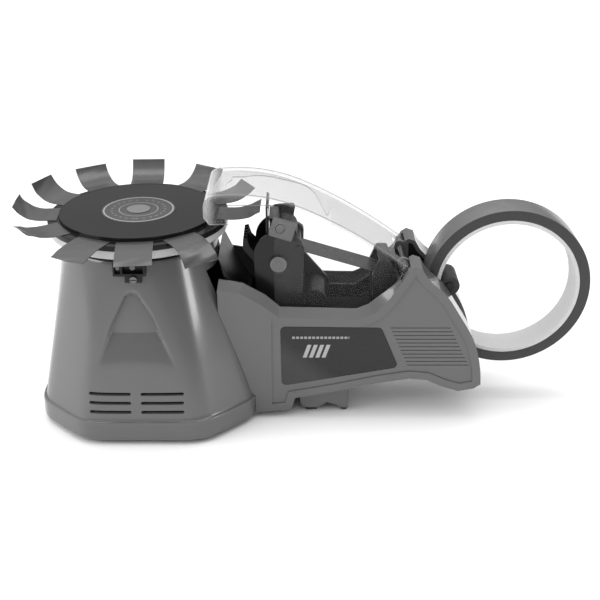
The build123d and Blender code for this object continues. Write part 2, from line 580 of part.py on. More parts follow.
# ------------------------------------------------------------------ carousel drive
FRAME_Z0, FRAME_Z1 = 98.2, 101.2
HUB_R = 10.5
BEARING_R, BEARING_H = 8.0, 5.0
WHEEL_Z, WHEEL_T, WHEEL_R = 83.6, 0.8, 24.0
LOW_BEARING_Z = 86.0
MOUNT_Z0, MOUNT_Z1 = 72.0, 74.5
POSTS = [(polar(0, 0, 31.0, a)) for a in (40, 140, 270)]


def bearing(z0):
    ring = rod_z(0, 0, z0, z0 + BEARING_H, BEARING_R) - rod_z(0, 0, z0 - 1, z0 + BEARING_H + 1, SPINDLE_R + RUN)
    groove = (rod_z(0, 0, z0 + BEARING_H - 0.6, z0 + BEARING_H + 1, BEARING_R - 1.2)
              - rod_z(0, 0, z0, z0 + BEARING_H + 2, SPINDLE_R + 1.3))
    return ring - groove


def make_drive():
    frame = rod_z(0, 0, FRAME_Z0, FRAME_Z1, TOWER_TOP_R - 2.5 - FIT)
    frame += rod_z(0, 0, LOW_BEARING_Z, FRAME_Z1, HUB_R)
    frame -= rod_z(0, 0, FRAME_Z1 - BEARING_H, FRAME_Z1 + 1, BEARING_R)
    frame -= rod_z(0, 0, LOW_BEARING_Z - 1, LOW_BEARING_Z + BEARING_H, BEARING_R)
    frame -= rod_z(0, 0, 80, 110, SPINDLE_R + 1.4)
    frame -= box(-SENSOR_HALF - 1, SENSOR_HALF + 1, -50, -TOWER_TOP_R + 8, 90, 110)
    keep("spindle_frame", frame)
    keep("spindle_bearings", bearing(FRAME_Z1 - BEARING_H), bearing(LOW_BEARING_Z))
    mount = rod_z(0, 0, MOUNT_Z0, MOUNT_Z1, 36.5) - rod_z(MOTOR_X, MOTOR_Y, 70, 80, SHAFT_R + 1.2)
    mount -= box(14, 50, -50, 10, 70, 80)
    for x, y in POSTS:
        mount += rod_z(x, y, MOUNT_Z0, FRAME_Z0, 3.0)
    keep("motor_mount", mount)
    gear = involute_gear(SPINDLE_TEETH, SPINDLE_MODULE, GEAR_W, SPINDLE_R)
    keep("spindle_gear", Pos(0, 0, GEAR_Z0) * gear)
    # at the mesh the pinion shows a gap to the gear's tooth
    tooth_turn = (MOTOR_ANGLE / (360 / SPINDLE_TEETH)) % 1.0
    turn = MOTOR_ANGLE + 180 + (0.5 + tooth_turn) * 360 / SPINDLE_PINION_TEETH
    pinion = involute_gear(SPINDLE_PINION_TEETH, SPINDLE_MODULE, GEAR_W, SHAFT_R, turn)
    keep("spindle_pinion", Pos(MOTOR_X, MOTOR_Y, GEAR_Z0) * pinion
         + rod_z(MOTOR_X, MOTOR_Y, MOUNT_Z0 + 0.3, GEAR_Z0 + GEAR_W + 1, SHAFT_R + 0.01))
    body = rod_z(MOTOR_X, MOTOR_Y, 52, MOUNT_Z0 - 0.02, 12.5) + rod_z(MOTOR_X, MOTOR_Y, 30, 52, 10.5)
    body += rod_z(MOTOR_X, MOTOR_Y, 27.5, 30, 3.5)
    keep("carousel_motor", body)
    wheel = rod_z(0, 0, WHEEL_Z, WHEEL_Z + WHEEL_T, WHEEL_R) - rod_z(0, 0, 80, 86, SPINDLE_R)
    for i in range(PLACES):
        slot = Rot(0, 0, 360 / PLACES * (i + 0.5)) * box(19.5, WHEEL_R - 1.4, -0.9, 0.9, 80, 86)
        wheel -= slot
    keep("index_wheel", wheel)
    optic = box(17.5, 31, -4, 4, WHEEL_Z - 3.0, WHEEL_Z + 4.0)
    optic -= box(16, WHEEL_R + 1.2, -5, 5, WHEEL_Z - 1.2, WHEEL_Z + 2.0)
    optic = Rot(0, 0, 90) * optic
    optic += box(-3, 3, 27, 31, WHEEL_Z + 4.0, FRAME_Z0)
    keep("index_sensor", optic)


# ------------------------------------------------------------------ feeder
def roller_y(x, z, r, bore, ribs=0):
    """A roller as wide as the tape, along Y, with fine ribs if asked for."""
    body = rod_y(x, z, -HALF_TAPE, HALF_TAPE, r) - rod_y(x, z, -20, 20, bore)
    for i in range(ribs):
        y = -HALF_TAPE + (i + 0.5) * TAPE_WIDTH / ribs
        body -= rod_y(x, z, y - 0.35, y + 0.35, r + 1) - rod_y(x, z, y - 0.4, y + 0.4, r - 0.5)
    return body


FOOT_PLATE = DECK_FLOOR + 2.0


def feeder_plate(far):
    """A feeder side plate: round over the rollers, with a stem down to the tray and a horn up to the exit."""
    shape = hull_of((FEED_X - 0.5, FEED_Z + 4.5, 13.0), (FEED_X - 9, FOOT_PLATE + 3, 3.0),
                    (FEED_X + 10, FOOT_PLATE + 3, 3.0), (PIVOT_X, PIVOT_Z, 3.2))
    shape = shape + hull_of((NOSE_X + 0.4, NOSE_Z, 2.2), (FEED_X + 7, NOSE_Z + 1, 2.0), (FEED_X, FEED_Z + 4, 6.0))
    if far:
        shape = shape + hull_of((FEED_X, FEED_Z, 8), (PINION_X, PINION_Z, 9.6), (FEED_X, FOOT_PLATE + 9.0, 9.0))
    plate = side_plate(shape, PLATE_IN, PLATE_IN + PLATE_T)
    if not far:
        plate = mirror(plate, Plane.XZ)
    # shafts, and the slot that clears the blade yoke
    for x, z, r in ((FEED_X, FEED_Z, SHAFT_R), (PIVOT_X, PIVOT_Z, 1.5)):
        plate -= rod_y(x, z, -40, 40, r + RUN)
    plate -= rod_y(NOSE_X, NOSE_Z, -40, 40, 1.2)
    if far:
        plate -= rod_y(PINION_X, PINION_Z, -40, 40, SHAFT_R + 0.6)
        plate += rod_y(MIDDLE_X, MIDDLE_Z, PLATE_IN, 21.0, 1.5)
        plate += rod_y(MIDDLE_X, MIDDLE_Z, PLATE_IN, PLATE_IN + PLATE_T + 1.2, 2.6)
    return plate


def make_feeder():
    keep("feeder_plate_near", feeder_plate(False))
    keep("feeder_plate_far", feeder_plate(True))
    keep("feed_roller", roller_y(FEED_X, FEED_Z, FEED_R, SHAFT_R, ribs=8))
    shaft = rod_y(FEED_X, FEED_Z, -17.4, 21.0, SHAFT_R)
    keep("feed_shaft", shaft + rod_y(FEED_X, FEED_Z, -17.2, -15.3, 4.6))
    keep("feed_gear", seat_on_y(involute_gear(FEED_TEETH, GEAR_MODULE, 4.0, SHAFT_R), FEED_X, FEED_Z, 16.4))
    keep("middle_gear", seat_on_y(involute_gear(MIDDLE_TEETH, GEAR_MODULE, 4.0, 1.5 + RUN,
                                                mesh_turn(MIDDLE_ANGLE, FEED_TEETH, MIDDLE_TEETH)),
                                  MIDDLE_X, MIDDLE_Z, 16.4))
    turn = mesh_turn(PINION_ANGLE, MIDDLE_TEETH, FEED_PINION_TEETH,
                     mesh_turn(MIDDLE_ANGLE, FEED_TEETH, MIDDLE_TEETH))
    keep("feed_pinion", seat_on_y(involute_gear(FEED_PINION_TEETH, GEAR_MODULE, 4.0, SHAFT_R, turn),
                                  PINION_X, PINION_Z, 16.4) + rod_y(PINION_X, PINION_Z, 12.4, 20.8, SHAFT_R + 0.01))
    motor = rod_y(PINION_X, PINION_Z, -12.0, 12.0, 8.0) + rod_y(PINION_X, PINION_Z, 12.0, 12.98, 6.0)
    motor -= rod_y(PINION_X, PINION_Z, 12.2, 14, SHAFT_R + 0.4)
    keep("feed_motor", motor)
    make_pinch()
    make_cutter()
    make_screw_block()
    make_comb()


def make_comb():
    """The comb of fingers that keeps a drooping strip off the blade yoke."""
    bar = box(64.6, 68.4, -PLATE_IN + 0.05, PLATE_IN - 0.05, 88.0, 92.0)
    finger = polygon((67.0, 88.4), (64.0, 88.4), (57.4, 96.5), (57.6, 102.4), (59.8, 103.0), (61.4, 98.0), (67.0, 91.6))
    for i in range(6):
        y = -10.5 + i * 4.2
        bar += side_plate(finger, y - 0.6, y + 0.6)
    keep("strip_comb", bar)


def mesh_turn(angle, driver_teeth, own_teeth, driver_turn=0.0):
    """Turn in degrees that puts a tooth gap of this gear on a tooth of its driver.

    Angles are in the (x, z) plane seen along +Y. A gear made about Z and laid onto +Y is seen from
    behind there, so its own turn runs the other way.
    """
    pitch_d, pitch_o = 360 / driver_teeth, 360 / own_teeth
    phase = ((angle + driver_turn) / pitch_d) % 1.0
    return -(angle + 180 + (0.5 + phase) * pitch_o)


def make_pinch():
    keep("pinch_roller", roller_y(PINCH_X, PINCH_Z, PINCH_R, 1.5 + RUN, ribs=6))
    levers = []
    shape = hull_of((PINCH_X, PINCH_Z, 3.2), (PIVOT_X, PIVOT_Z, 3.2))
    for y0, y1 in ((-12.6, -10.4), (10.4, 12.6)):
        levers.append(side_plate(shape, y0, y1))
    arm = levers[0] + levers[1]
    arm += rod_y(PIVOT_X, PIVOT_Z, -PLATE_IN - PLATE_T, PLATE_IN + PLATE_T, 1.5)
    arm += rod_y(PINCH_X, PINCH_Z, -12.6, 12.6, 1.5)
    keep("pinch_lever", arm)


def make_cutter():
    half = 12.4
    window = HALF_TAPE + 0.7
    yoke = box(YOKE_X0, YOKE_X1, -half, half, 75.0, YOKE_TOP)
    yoke -= box(YOKE_X0 - 1, YOKE_X1 + 1, -window, window, 80.0, YOKE_TOP - 3.5)
    back = CUT_X - BLADE_GAP
    edge = polygon((YOKE_X1, YOKE_TOP - 0.6), (back, YOKE_TOP - 0.6), (back, BLADE_Z), (YOKE_X1, BLADE_Z + 0.9))
    blade = side_plate(edge, -half + 0.4, half - 0.4)
    for i in range(12):
        y = -half + 1.6 + i * 1.945
        notch = Pos(back, y, BLADE_Z) * Rot(45, 0, 0) * Box(3, 1.0, 1.0)
        blade -= notch
    keep("moving_blade", blade)
    keep("fixed_blade", box(CUT_X, CUT_X + 0.6, -12.95, 12.95, 104.0, FLANGE_TOP - 0.25))
    keep("exit_nose", rod_y(NOSE_X, NOSE_Z, -10.3, 10.3, NOSE_R)
         + rod_y(NOSE_X, NOSE_Z, -PLATE_IN - PLATE_T, PLATE_IN + PLATE_T, 1.15))
    mid = (YOKE_X0 + YOKE_X1) / 2
    coil = box(mid - 6, mid + 6, -9, 9, FOOT_PLATE, 70.0) - rod_z(mid, 0, FOOT_PLATE + 2, 71, 2.5 + RUN)
    keep("cutter_solenoid", coil)
    keep("blade_yoke", yoke + rod_z(mid, 0, 60.0, 75.5, 2.5))


def make_screw_block():
    """The tilted clamp block on the near plate, with its socket screw."""
    tilt = Pos(FEED_X + 2.4, 0, FEED_Z + 20.6) * Rot(0, TAPE_SLOPE, 0)
    block = fillet(Box(13.0, 3.6, 10.0).edges().filter_by(Axis.Y), 0.8)
    block -= Pos(-1.5, -1.6, 0.5) * Rot(90, 0, 0) * Cylinder(2.6, 2.0)
    keep("clamp_block", tilt * Pos(0, -PLATE_IN - PLATE_T - 1.85, 0) * block)
    screw = Pos(-1.5, -1.2, 0.5) * Rot(90, 0, 0) * (Cylinder(2.3, 1.2) - Pos(0, 0, 0.4) * hex_socket())
    keep("screws", tilt * Pos(0, -PLATE_IN - PLATE_T - 1.85, 0) * screw)


def hex_socket():
    """The hexagon socket of the clamp screw."""
    return extrude(RegularPolygon(1.3, 6), 1.0)


# ------------------------------------------------------------------ tape path
def tape_path():
    """Centre line of the tape from the roll, over the guide roller, through the nip, round the pinch
    roller and over the exit nose to the blade. Straight runs and arcs, drawn in (x, z)."""
    guide = GUIDE_R + TAPE_OFF
    roll = ROLL_R + TAPE_OFF
    dx, dz = ROLL_X - GUIDE_X, ROLL_Z - GUIDE_Z
    lean = degrees(atan2(dz, dx)) + degrees(acos((guide + roll) / hypot(dx, dz)))
    off_roll = polar(ROLL_X, ROLL_Z, roll, lean + 180)
    on_guide = polar(GUIDE_X, GUIDE_Z, guide, lean)
    off_guide = polar(GUIDE_X, GUIDE_Z, guide, 90 - TAPE_SLOPE)
    pinch, nose = PINCH_R + TAPE_OFF, NOSE_R + TAPE_OFF
    ex, ez = NOSE_X - PINCH_X, NOSE_Z - PINCH_Z
    side = degrees(atan2(ez, ex)) + degrees(acos((pinch + nose) / hypot(ex, ez)))
    leave = polar(PINCH_X, PINCH_Z, pinch, side)
    mid_wrap = polar(PINCH_X, PINCH_Z, pinch, (side + 270 - TAPE_SLOPE) / 2)
    land = polar(NOSE_X, NOSE_Z, nose, side - 180)
    crest = polar(NOSE_X, NOSE_Z, nose, 90)
    over = polar(NOSE_X, NOSE_Z, nose, (side - 180 + 90) / 2)
    top = polar(GUIDE_X, GUIDE_Z, guide, (lean + 90 - TAPE_SLOPE) / 2)
    return Wire([Line(off_roll, on_guide).edge(), ThreePointArc(on_guide, top, off_guide).edge(),
                 Line(off_guide, NIP).edge(), ThreePointArc(NIP, mid_wrap, leave).edge(),
                 Line(leave, land).edge(), ThreePointArc(land, over, crest).edge(),
                 Line(crest, (CUT_X + FILM / 2, crest[1])).edge()])


def make_tape():
    web = offset(tape_path(), FILM / 2, kind=Kind.INTERSECTION, side=Side.BOTH)
    keep("tape_web", side_plate(make_face(web), -HALF_TAPE, HALF_TAPE))
    keep("guide_roller", roller_y(GUIDE_X, GUIDE_Z, GUIDE_R, 1.5 + RUN))
    cheeks = []
    shape = rounded(polygon((GUIDE_X - 7, FOOT_PLATE), (GUIDE_X + 5.5, FOOT_PLATE), (GUIDE_X + 5.5, 80),
                            (GUIDE_X + 1, 90.5), (GUIDE_X - 5, 90.5), (GUIDE_X - 8.5, 82)), 1.6)
    for y0, y1 in ((-13.4, -11.0), (11.0, 13.4)):
        cheeks.append(side_plate(shape, y0, y1))
    bridge = box(GUIDE_X - 6, GUIDE_X + 4.5, -13.4, 13.4, FOOT_PLATE, FOOT_PLATE + 2.5)
    lip = box(GUIDE_X - 4.5, GUIDE_X + 0.5, -13.4, 13.4, 87.0, 89.6)
    keep("guide_bracket", cheeks[0] + cheeks[1] + bridge + lip)
    keep("guide_bracket", rod_y(GUIDE_X, GUIDE_Z, -11.0, 11.0, 1.5))


# ------------------------------------------------------------------ roll and its cradle
def make_roll():
    roll = rod_y(ROLL_X, ROLL_Z, -HALF_TAPE, HALF_TAPE, ROLL_R) - rod_y(ROLL_X, ROLL_Z, -20, 20, CORE_R)
    keep("tape_roll", roll)
    core = rod_y(ROLL_X, ROLL_Z, -HALF_TAPE, HALF_TAPE, CORE_R) - rod_y(ROLL_X, ROLL_Z, -20, 20, CORE_BORE_R)
    keep("roll_core", chamfer(core.edges().filter_by(GeomType.CIRCLE).sort_by(SortBy.LENGTH)[:2], 0.3))


def cradle_plate(y0, y1):
    shape = fin_outline(SHELL_WALL + FIT)
    plate = side_plate(shape, y0, y1)
    plate -= rod_y(SUPPORT_X, SUPPORT_Z, -40, 40, 1.5)
    return plate


ARM_Y0, ARM_Y1 = SLOT_HALF - 1.5, SLOT_HALF - 0.3


def make_cradle():
    keep("cradle_plates", cradle_plate(-SLOT_HALF - 2.0, -SLOT_HALF))
    far = cradle_plate(SLOT_HALF, SLOT_HALF + 2.0) - rod_y(ARM_PIVOT_X, ARM_PIVOT_Z, 0, 40, 2.0)
    keep("cradle_plates", far)
    keep("support_roller", roller_y(SUPPORT_X, SUPPORT_Z, SUPPORT_R, 1.5 + RUN))
    keep("cradle_pins", rod_y(SUPPORT_X, SUPPORT_Z, -SLOT_HALF - 2.0, SLOT_HALF + 2.0, 1.5))
    arm = side_plate(hull_of((ARM_PIVOT_X, ARM_PIVOT_Z, 5.0), (IDLER_X, IDLER_Z, 4.5)), ARM_Y0, ARM_Y1)
    arm -= rod_y(ARM_PIVOT_X, ARM_PIVOT_Z, 0, 40, 2.0 + RUN)
    arm += rod_y(IDLER_X, IDLER_Z, -HALF_TAPE - 1.0, ARM_Y1, 1.5)
    arm += rod_y(IDLER_X, IDLER_Z, -HALF_TAPE - 1.0, -HALF_TAPE - 0.25, 2.6)
    keep("roll_arm", arm)
    keep("cradle_pins", rod_y(ARM_PIVOT_X, ARM_PIVOT_Z, ARM_Y0 - 0.4, SLOT_HALF + 2.0, 2.0)
         + rod_y(ARM_PIVOT_X, ARM_PIVOT_Z, ARM_Y0 - 0.4, ARM_Y0 - 0.08, 3.4))
    keep("core_idler", roller_y(IDLER_X, IDLER_Z, IDLER_R, 1.5 + RUN))


# ------------------------------------------------------------------ clear cover
COVER_FRONT = 37.6
COVER_TOP = 132.4


def cover_crown(inset):
    """The cover's outer line from its front lip over the crown to the hinge, drawn in by the inset."""
    nose = ThreePointArc((COVER_FRONT + inset, 126.0), (COVER_FRONT + 2.0 + inset * 0.8, COVER_TOP - 2.2 - inset * 0.7),
                         (COVER_FRONT + 7.4, COVER_TOP - 0.5 - inset))
    crown = Spline((COVER_FRONT + 7.4, COVER_TOP - 0.5 - inset), (56, COVER_TOP - inset), (78, 129.2 - inset * 1.04),
                   (100, 120.4 - inset * 1.12), (122, 108.2 - inset * 1.2), (HINGE_X, HINGE_Z + 2.5 - inset * 0.9))
    return nose, crown


def cover_side():
    """A side wall's outline with its front lobe, the notch that the strips pass, and its lower edge."""
    nose, crown = cover_crown(0)
    lower = [(HINGE_X, HINGE_Z + 2.5), (HINGE_X + 1.2, HINGE_Z), (HINGE_X - 0.8, HINGE_Z - 2.4), (139.6, 79.6),
             (129.4, 66.4), (121.0, 60.6), (NOTCH_REAR, 61.2), (NOTCH_REAR, NOTCH_TOP)]
    lobe = [(NOTCH_FRONT, NOTCH_TOP), (NOTCH_FRONT, LOBE_Z), (COVER_FRONT + 3, LOBE_Z),
            (COVER_FRONT, LOBE_Z + 4), (COVER_FRONT, 126.0)]
    edges = nose.edges() + crown.edges() + Polyline(*lower, *lobe).edges()
    return make_face(Wire(edges))


LOBE_Z = 115.8
NOTCH_FRONT, NOTCH_REAR, NOTCH_TOP = 50.5, 75.0, 126.6


def far_arch():
    """The arched window in the far wall that the strips leave by."""
    high, rear = 127.4, 107.0
    foot = 84.0
    path = [Line((NOTCH_FRONT - 4, LOBE_Z - 5), (NOTCH_FRONT - 4, 119.0)),
            Spline((NOTCH_FRONT - 4, 119.0), (52.5, 125.4), (67.0, high), (84.0, 124.0), (98.0, 115.6),
                   (105.0, 104.0), (rear, 92.0), tangents=[(0, 1), (0, -1)]),
            Polyline((rear, 92.0), (rear, foot), (NOTCH_FRONT - 4, foot), (NOTCH_FRONT - 4, LOBE_Z - 5))]
    return make_face(Wire([e for p in path for e in p.edges()]))


def make_cover():
    solid = side_plate(cover_side(), -COVER_HALF, COVER_HALF)
    lower = [(HINGE_X - 1.4, HINGE_Z + 0.6), (HINGE_X - 1.4, 40), (COVER_FRONT - 9, 40), (COVER_FRONT - 9, 122.5),
             (COVER_FRONT + COVER_WALL, 122.5), (COVER_FRONT + COVER_WALL, 126.0)]
    nose, crown = cover_crown(COVER_WALL)
    inner_edges = nose.edges() + crown.edges()
    last = crown @ 1
    inner = make_face(Wire(inner_edges + Polyline((last.X, last.Y), *lower).edges()))
    shell = solid - side_plate(inner, -COVER_HALF + COVER_WALL, COVER_HALF - COVER_WALL)
    shell -= side_plate(far_arch(), COVER_HALF - COVER_WALL - 1, COVER_HALF + 1)
    shell -= rod_y(HINGE_X, HINGE_Z, -COVER_HALF - 1, COVER_HALF + 1, HINGE_PIN_R + RUN)
    for s in (-1, 1):
        y0, y1 = sorted((s * (SLOT_HALF + 3.0), s * COVER_HALF))
        shell += rod_y(HINGE_X, HINGE_Z, y0, y1, 2.5) - rod_y(HINGE_X, HINGE_Z, y0 - 1, y1 + 1, HINGE_PIN_R + RUN)
    shell -= box(HINGE_X - 4.5, HINGE_X + 6, -SLOT_HALF - 2.95, SLOT_HALF + 2.95, HINGE_Z - 6, HINGE_Z + 7)
    keep("clear_cover", shell.solids().sort_by(SortBy.VOLUME)[-1])
    keep("hinge_pin", rod_y(HINGE_X, HINGE_Z, -COVER_HALF + 0.4, COVER_HALF - 0.4, HINGE_PIN_R))


# ------------------------------------------------------------------ fasteners
def make_fasteners():
    keep("screws", *[pan_screw(x, y, FOOT_H, out=-1, shank=2.9, head_r=2.2) for x, y in BASE_SCREWS])


def save():
    """Writes one STEP file per node, with the origin under the middle of the bounding box."""
    os.makedirs("parts", exist_ok=True)
    boxes = [s.bounding_box() for solids in PARTS.values() for s in solids]
    low = [min(b.min.X for b in boxes), min(b.min.Y for b in boxes)]
    high = [max(b.max.X for b in boxes), max(b.max.Y for b in boxes)]
    shift = Pos(-(low[0] + high[0]) / 2, -(low[1] + high[1]) / 2, 0)
    print("shift", [round(v, 4) for v in shift.position])
    for name, solids in PARTS.items():
        moved = [shift * s for s in solids]
        shape = moved[0] if len(moved) == 1 else Compound(moved)
        export_step(shape, f"parts/{name}.step")


def main():
    make_tower()
    make_sensor()
    make_base()
    make_electronics()
    make_arm()
    make_deck()
    make_controls()
    make_carousel()
    make_strips()
    make_drive()
    make_feeder()
    make_tape()
    make_roll()
    make_cradle()
    make_cover()
    make_fasteners()
    save()


main()
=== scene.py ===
"""Looks of the automatic carousel tape dispenser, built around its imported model.

Millimetres are used for every shape, measured from the carousel's axis and the floor, and turned into
metres in the frame by `placed`. The tower, the carousel, the strips and the roll are new surfaces. Every
other piece is a copy of the model's own node with its edges rounded.
"""
import json
import math

import bmesh
import bpy
import numpy as np
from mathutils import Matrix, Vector


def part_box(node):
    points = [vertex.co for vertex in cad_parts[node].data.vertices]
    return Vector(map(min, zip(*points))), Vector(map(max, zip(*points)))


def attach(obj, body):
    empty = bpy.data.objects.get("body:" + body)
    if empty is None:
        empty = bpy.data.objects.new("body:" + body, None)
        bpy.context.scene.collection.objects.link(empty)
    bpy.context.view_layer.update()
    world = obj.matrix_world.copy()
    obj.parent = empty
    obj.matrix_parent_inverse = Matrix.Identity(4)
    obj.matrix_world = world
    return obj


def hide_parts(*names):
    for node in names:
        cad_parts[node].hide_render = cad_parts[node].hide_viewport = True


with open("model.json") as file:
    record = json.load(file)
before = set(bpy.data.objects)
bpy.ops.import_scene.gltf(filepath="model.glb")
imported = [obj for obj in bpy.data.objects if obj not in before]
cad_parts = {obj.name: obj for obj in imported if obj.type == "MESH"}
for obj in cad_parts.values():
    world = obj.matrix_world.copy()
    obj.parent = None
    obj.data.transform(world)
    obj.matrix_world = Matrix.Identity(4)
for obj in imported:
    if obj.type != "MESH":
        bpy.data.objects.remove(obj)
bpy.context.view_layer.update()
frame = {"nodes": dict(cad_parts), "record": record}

MM = 0.001
NODES = frame["nodes"]
RECORD = frame["record"]
BODY_OF = {node: body for body, nodes in RECORD["behaviour"]["bodies"].items() for node in nodes}
SLOT_OF = {part["node"]: part["material_slot"] for part in RECORD["subparts"]}
LOW, HIGH = (np.array(corner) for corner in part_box("carousel_disc"))
AXIS = np.array([(LOW[0] + HIGH[0]) / 2, (LOW[1] + HIGH[1]) / 2, 0.0])   # the carousel's axis on the floor


def placed(points):
    """Millimetres from the carousel's axis to metres in the frame."""
    return np.asarray(points, dtype=float) * MM + AXIS


# ------------------------------------------------------------------ materials
class Reading:
    """One value in a material. Arithmetic on readings adds the Math node that does it."""

    def __init__(self, look, socket):
        self.look, self.socket = look, socket

    def maths(self, operation, other, swapped=False):
        pair = (other, self) if swapped else (self, other)
        return self.look.node("ShaderNodeMath", {"operation": operation}, {0: pair[0], 1: pair[1]})

    def __add__(self, other): return self.maths("ADD", other)
    def __radd__(self, other): return self.maths("ADD", other, True)
    def __sub__(self, other): return self.maths("SUBTRACT", other)
    def __rsub__(self, other): return self.maths("SUBTRACT", other, True)
    def __mul__(self, other): return self.maths("MULTIPLY", other)
    def __rmul__(self, other): return self.maths("MULTIPLY", other, True)
    def __truediv__(self, other): return self.maths("DIVIDE", other)
    def __pow__(self, other): return self.maths("POWER", other)
    def least(self, other): return self.maths("MINIMUM", other)
    def most(self, other): return self.maths("MAXIMUM", other)
    def over(self, other): return self.maths("GREATER_THAN", other)
    def under(self, other): return self.maths("LESS_THAN", other)

    def alone(self, operation):
        """A Math node with one input, such as SINE, ABSOLUTE or FRACT."""
        return self.look.node("ShaderNodeMath", {"operation": operation}, {0: self})

    def ramp(self, low, high, out_low=0.0, out_high=1.0):
        """Smooth step from out_low at low to out_high at high."""
        return self.look.node("ShaderNodeMapRange", {"interpolation_type": "SMOOTHSTEP"},
                              {"Value": self, "From Min": low, "From Max": high,
                               "To Min": out_low, "To Max": out_high})


class Look:
    """A material on the Principled shader. `node` adds any node from its type, settings and inputs."""

    def __init__(self, name, **constants):
        self.material = bpy.data.materials.new(name)
        self.material.use_nodes = True
        self.tree = self.material.node_tree
        self.shader = self.tree.nodes["Principled BSDF"]
        self.set(**constants)
        self.place = self.node("ShaderNodeTexCoord", {}, {}, "Object")

    def node(self, kind, settings, inputs, output=0):
        made = self.tree.nodes.new(kind)
        for name, value in settings.items():
            setattr(made, name, value)
        for key, value in inputs.items():
            self.feed(made.inputs[key], value)
        return Reading(self, made.outputs[output])

    def feed(self, socket, value):
        if isinstance(value, Reading):
            self.tree.links.new(value.socket, socket)
        elif socket.type == "RGBA" and isinstance(value, (int, float)):
            socket.default_value = (value, value, value, 1.0)
        elif socket.type == "RGBA" and len(value) == 3:
            socket.default_value = (*value, 1.0)
        else:
            socket.default_value = value

    def set(self, **inputs):
        """Feeds the shader's sockets, named with _ for a space."""
        for name, value in inputs.items():
            self.feed(self.shader.inputs[name.replace("_", " ")], value)

    def xyz(self):
        """Place from the carousel's axis in mm, one reading a direction."""
        moved = self.node("ShaderNodeVectorMath", {"operation": "SUBTRACT"}, {0: self.place, 1: tuple(AXIS)})
        scaled = self.node("ShaderNodeVectorMath", {"operation": "SCALE"}, {0: moved, "Scale": 1 / MM})
        split = self.node("ShaderNodeSeparateXYZ", {}, {0: scaled})
        sockets = split.socket.node.outputs
        return [Reading(self, sockets[i]) for i in range(3)]

    def noise(self, size_mm, detail=2.0, stretch=None):
        """Smooth noise whose lumps are about size_mm across, or drawn out by stretch along x, y, z."""
        place = self.place
        if stretch:
            place = self.node("ShaderNodeVectorMath", {"operation": "MULTIPLY"}, {0: place, 1: stretch})
        return self.node("ShaderNodeTexNoise", {}, {"Vector": place, "Scale": 1 / (size_mm * MM),
                                                    "Detail": detail, "Roughness": 0.55})

    def shade(self, dark, light, amount):
        """A grey or colour between two, by amount."""
        dark, light = ((c, c, c) if isinstance(c, (int, float)) else c for c in (dark, light))
        return self.node("ShaderNodeMix", {"data_type": "RGBA"},
                         {0: amount, 6: (*dark, 1.0), 7: (*light, 1.0)}, 2)

    def blend(self, under, over, amount):
        """One colour reading laid over another, by amount."""
        return self.node("ShaderNodeMix", {"data_type": "RGBA"}, {0: amount, 6: under, 7: over}, 2)

    def bump(self, height, depth_mm, strength=1.0):
        normal = self.node("ShaderNodeBump", {}, {"Height": height, "Distance": depth_mm * MM,
                                                  "Strength": strength}, "Normal")
        self.set(Normal=normal)


def moulded(name, grey, rough, coat=0.0, grain_mm=0.8, depth=0.012, mottle=0.05, shine=0.5):
    """Moulded plastic: a faint mottle in its grey, a gloss that varies a little, and fine orange peel."""
    look = Look(name, Coat_Roughness=0.08, IOR=1.5, Specular_IOR_Level=shine)
    broad = look.noise(22.0)
    fine = look.noise(grain_mm, detail=3.0)
    grey = (grey, grey, grey) if isinstance(grey, (int, float)) else grey
    dark = tuple(c * (1 - mottle) for c in grey)
    light = tuple(c * (1 + mottle) for c in grey)
    look.set(Base_Color=look.shade(dark, light, broad), Coat_Weight=coat)
    look.set(Roughness=rough + (look.noise(6.0) - 0.5) * (rough * 0.25))
    look.bump(fine, depth)
    return look


def metal(name, grey, rough, streak=(1, 1, 12)):
    """Bare metal with fine drawn lines in its gloss."""
    look = Look(name, Metallic=1.0)
    lines = look.noise(1.2, detail=3.0, stretch=streak)
    grey = (grey, grey, grey) if isinstance(grey, (int, float)) else grey
    look.set(Base_Color=look.shade(tuple(c * 0.82 for c in grey), grey, lines))
    look.set(Roughness=rough + (lines - 0.5) * rough * 0.6)
    look.bump(lines, 0.01)
    return look


def body_grey():
    """Gloss mid grey plastic of the tower and arm."""
    return moulded("body_grey", (0.092, 0.092, 0.094), 0.20,
                   coat=0.30, grain_mm=1.1, depth=0.010, mottle=0.04)


def disc_black():
    """Polished near-black disc, with faint turned rings and a little dust."""
    look = Look("disc_black", Coat_Roughness=0.05, Specular_IOR_Level=0.15)
    x, y, _ = look.xyz()
    radius = (x * x + y * y) ** 0.5
    rings = (radius * 9.0).alone("SINE")
    dust = look.noise(0.5, detail=4.0).ramp(0.62, 0.75)
    look.set(Base_Color=look.shade(0.006, 0.014, dust * 0.5 + look.noise(14.0) * 0.3), Coat_Weight=0.03)
    look.set(Roughness=0.13 + dust * 0.08 + look.noise(9.0) * 0.05)
    look.bump(rings, 0.0012)
    return look


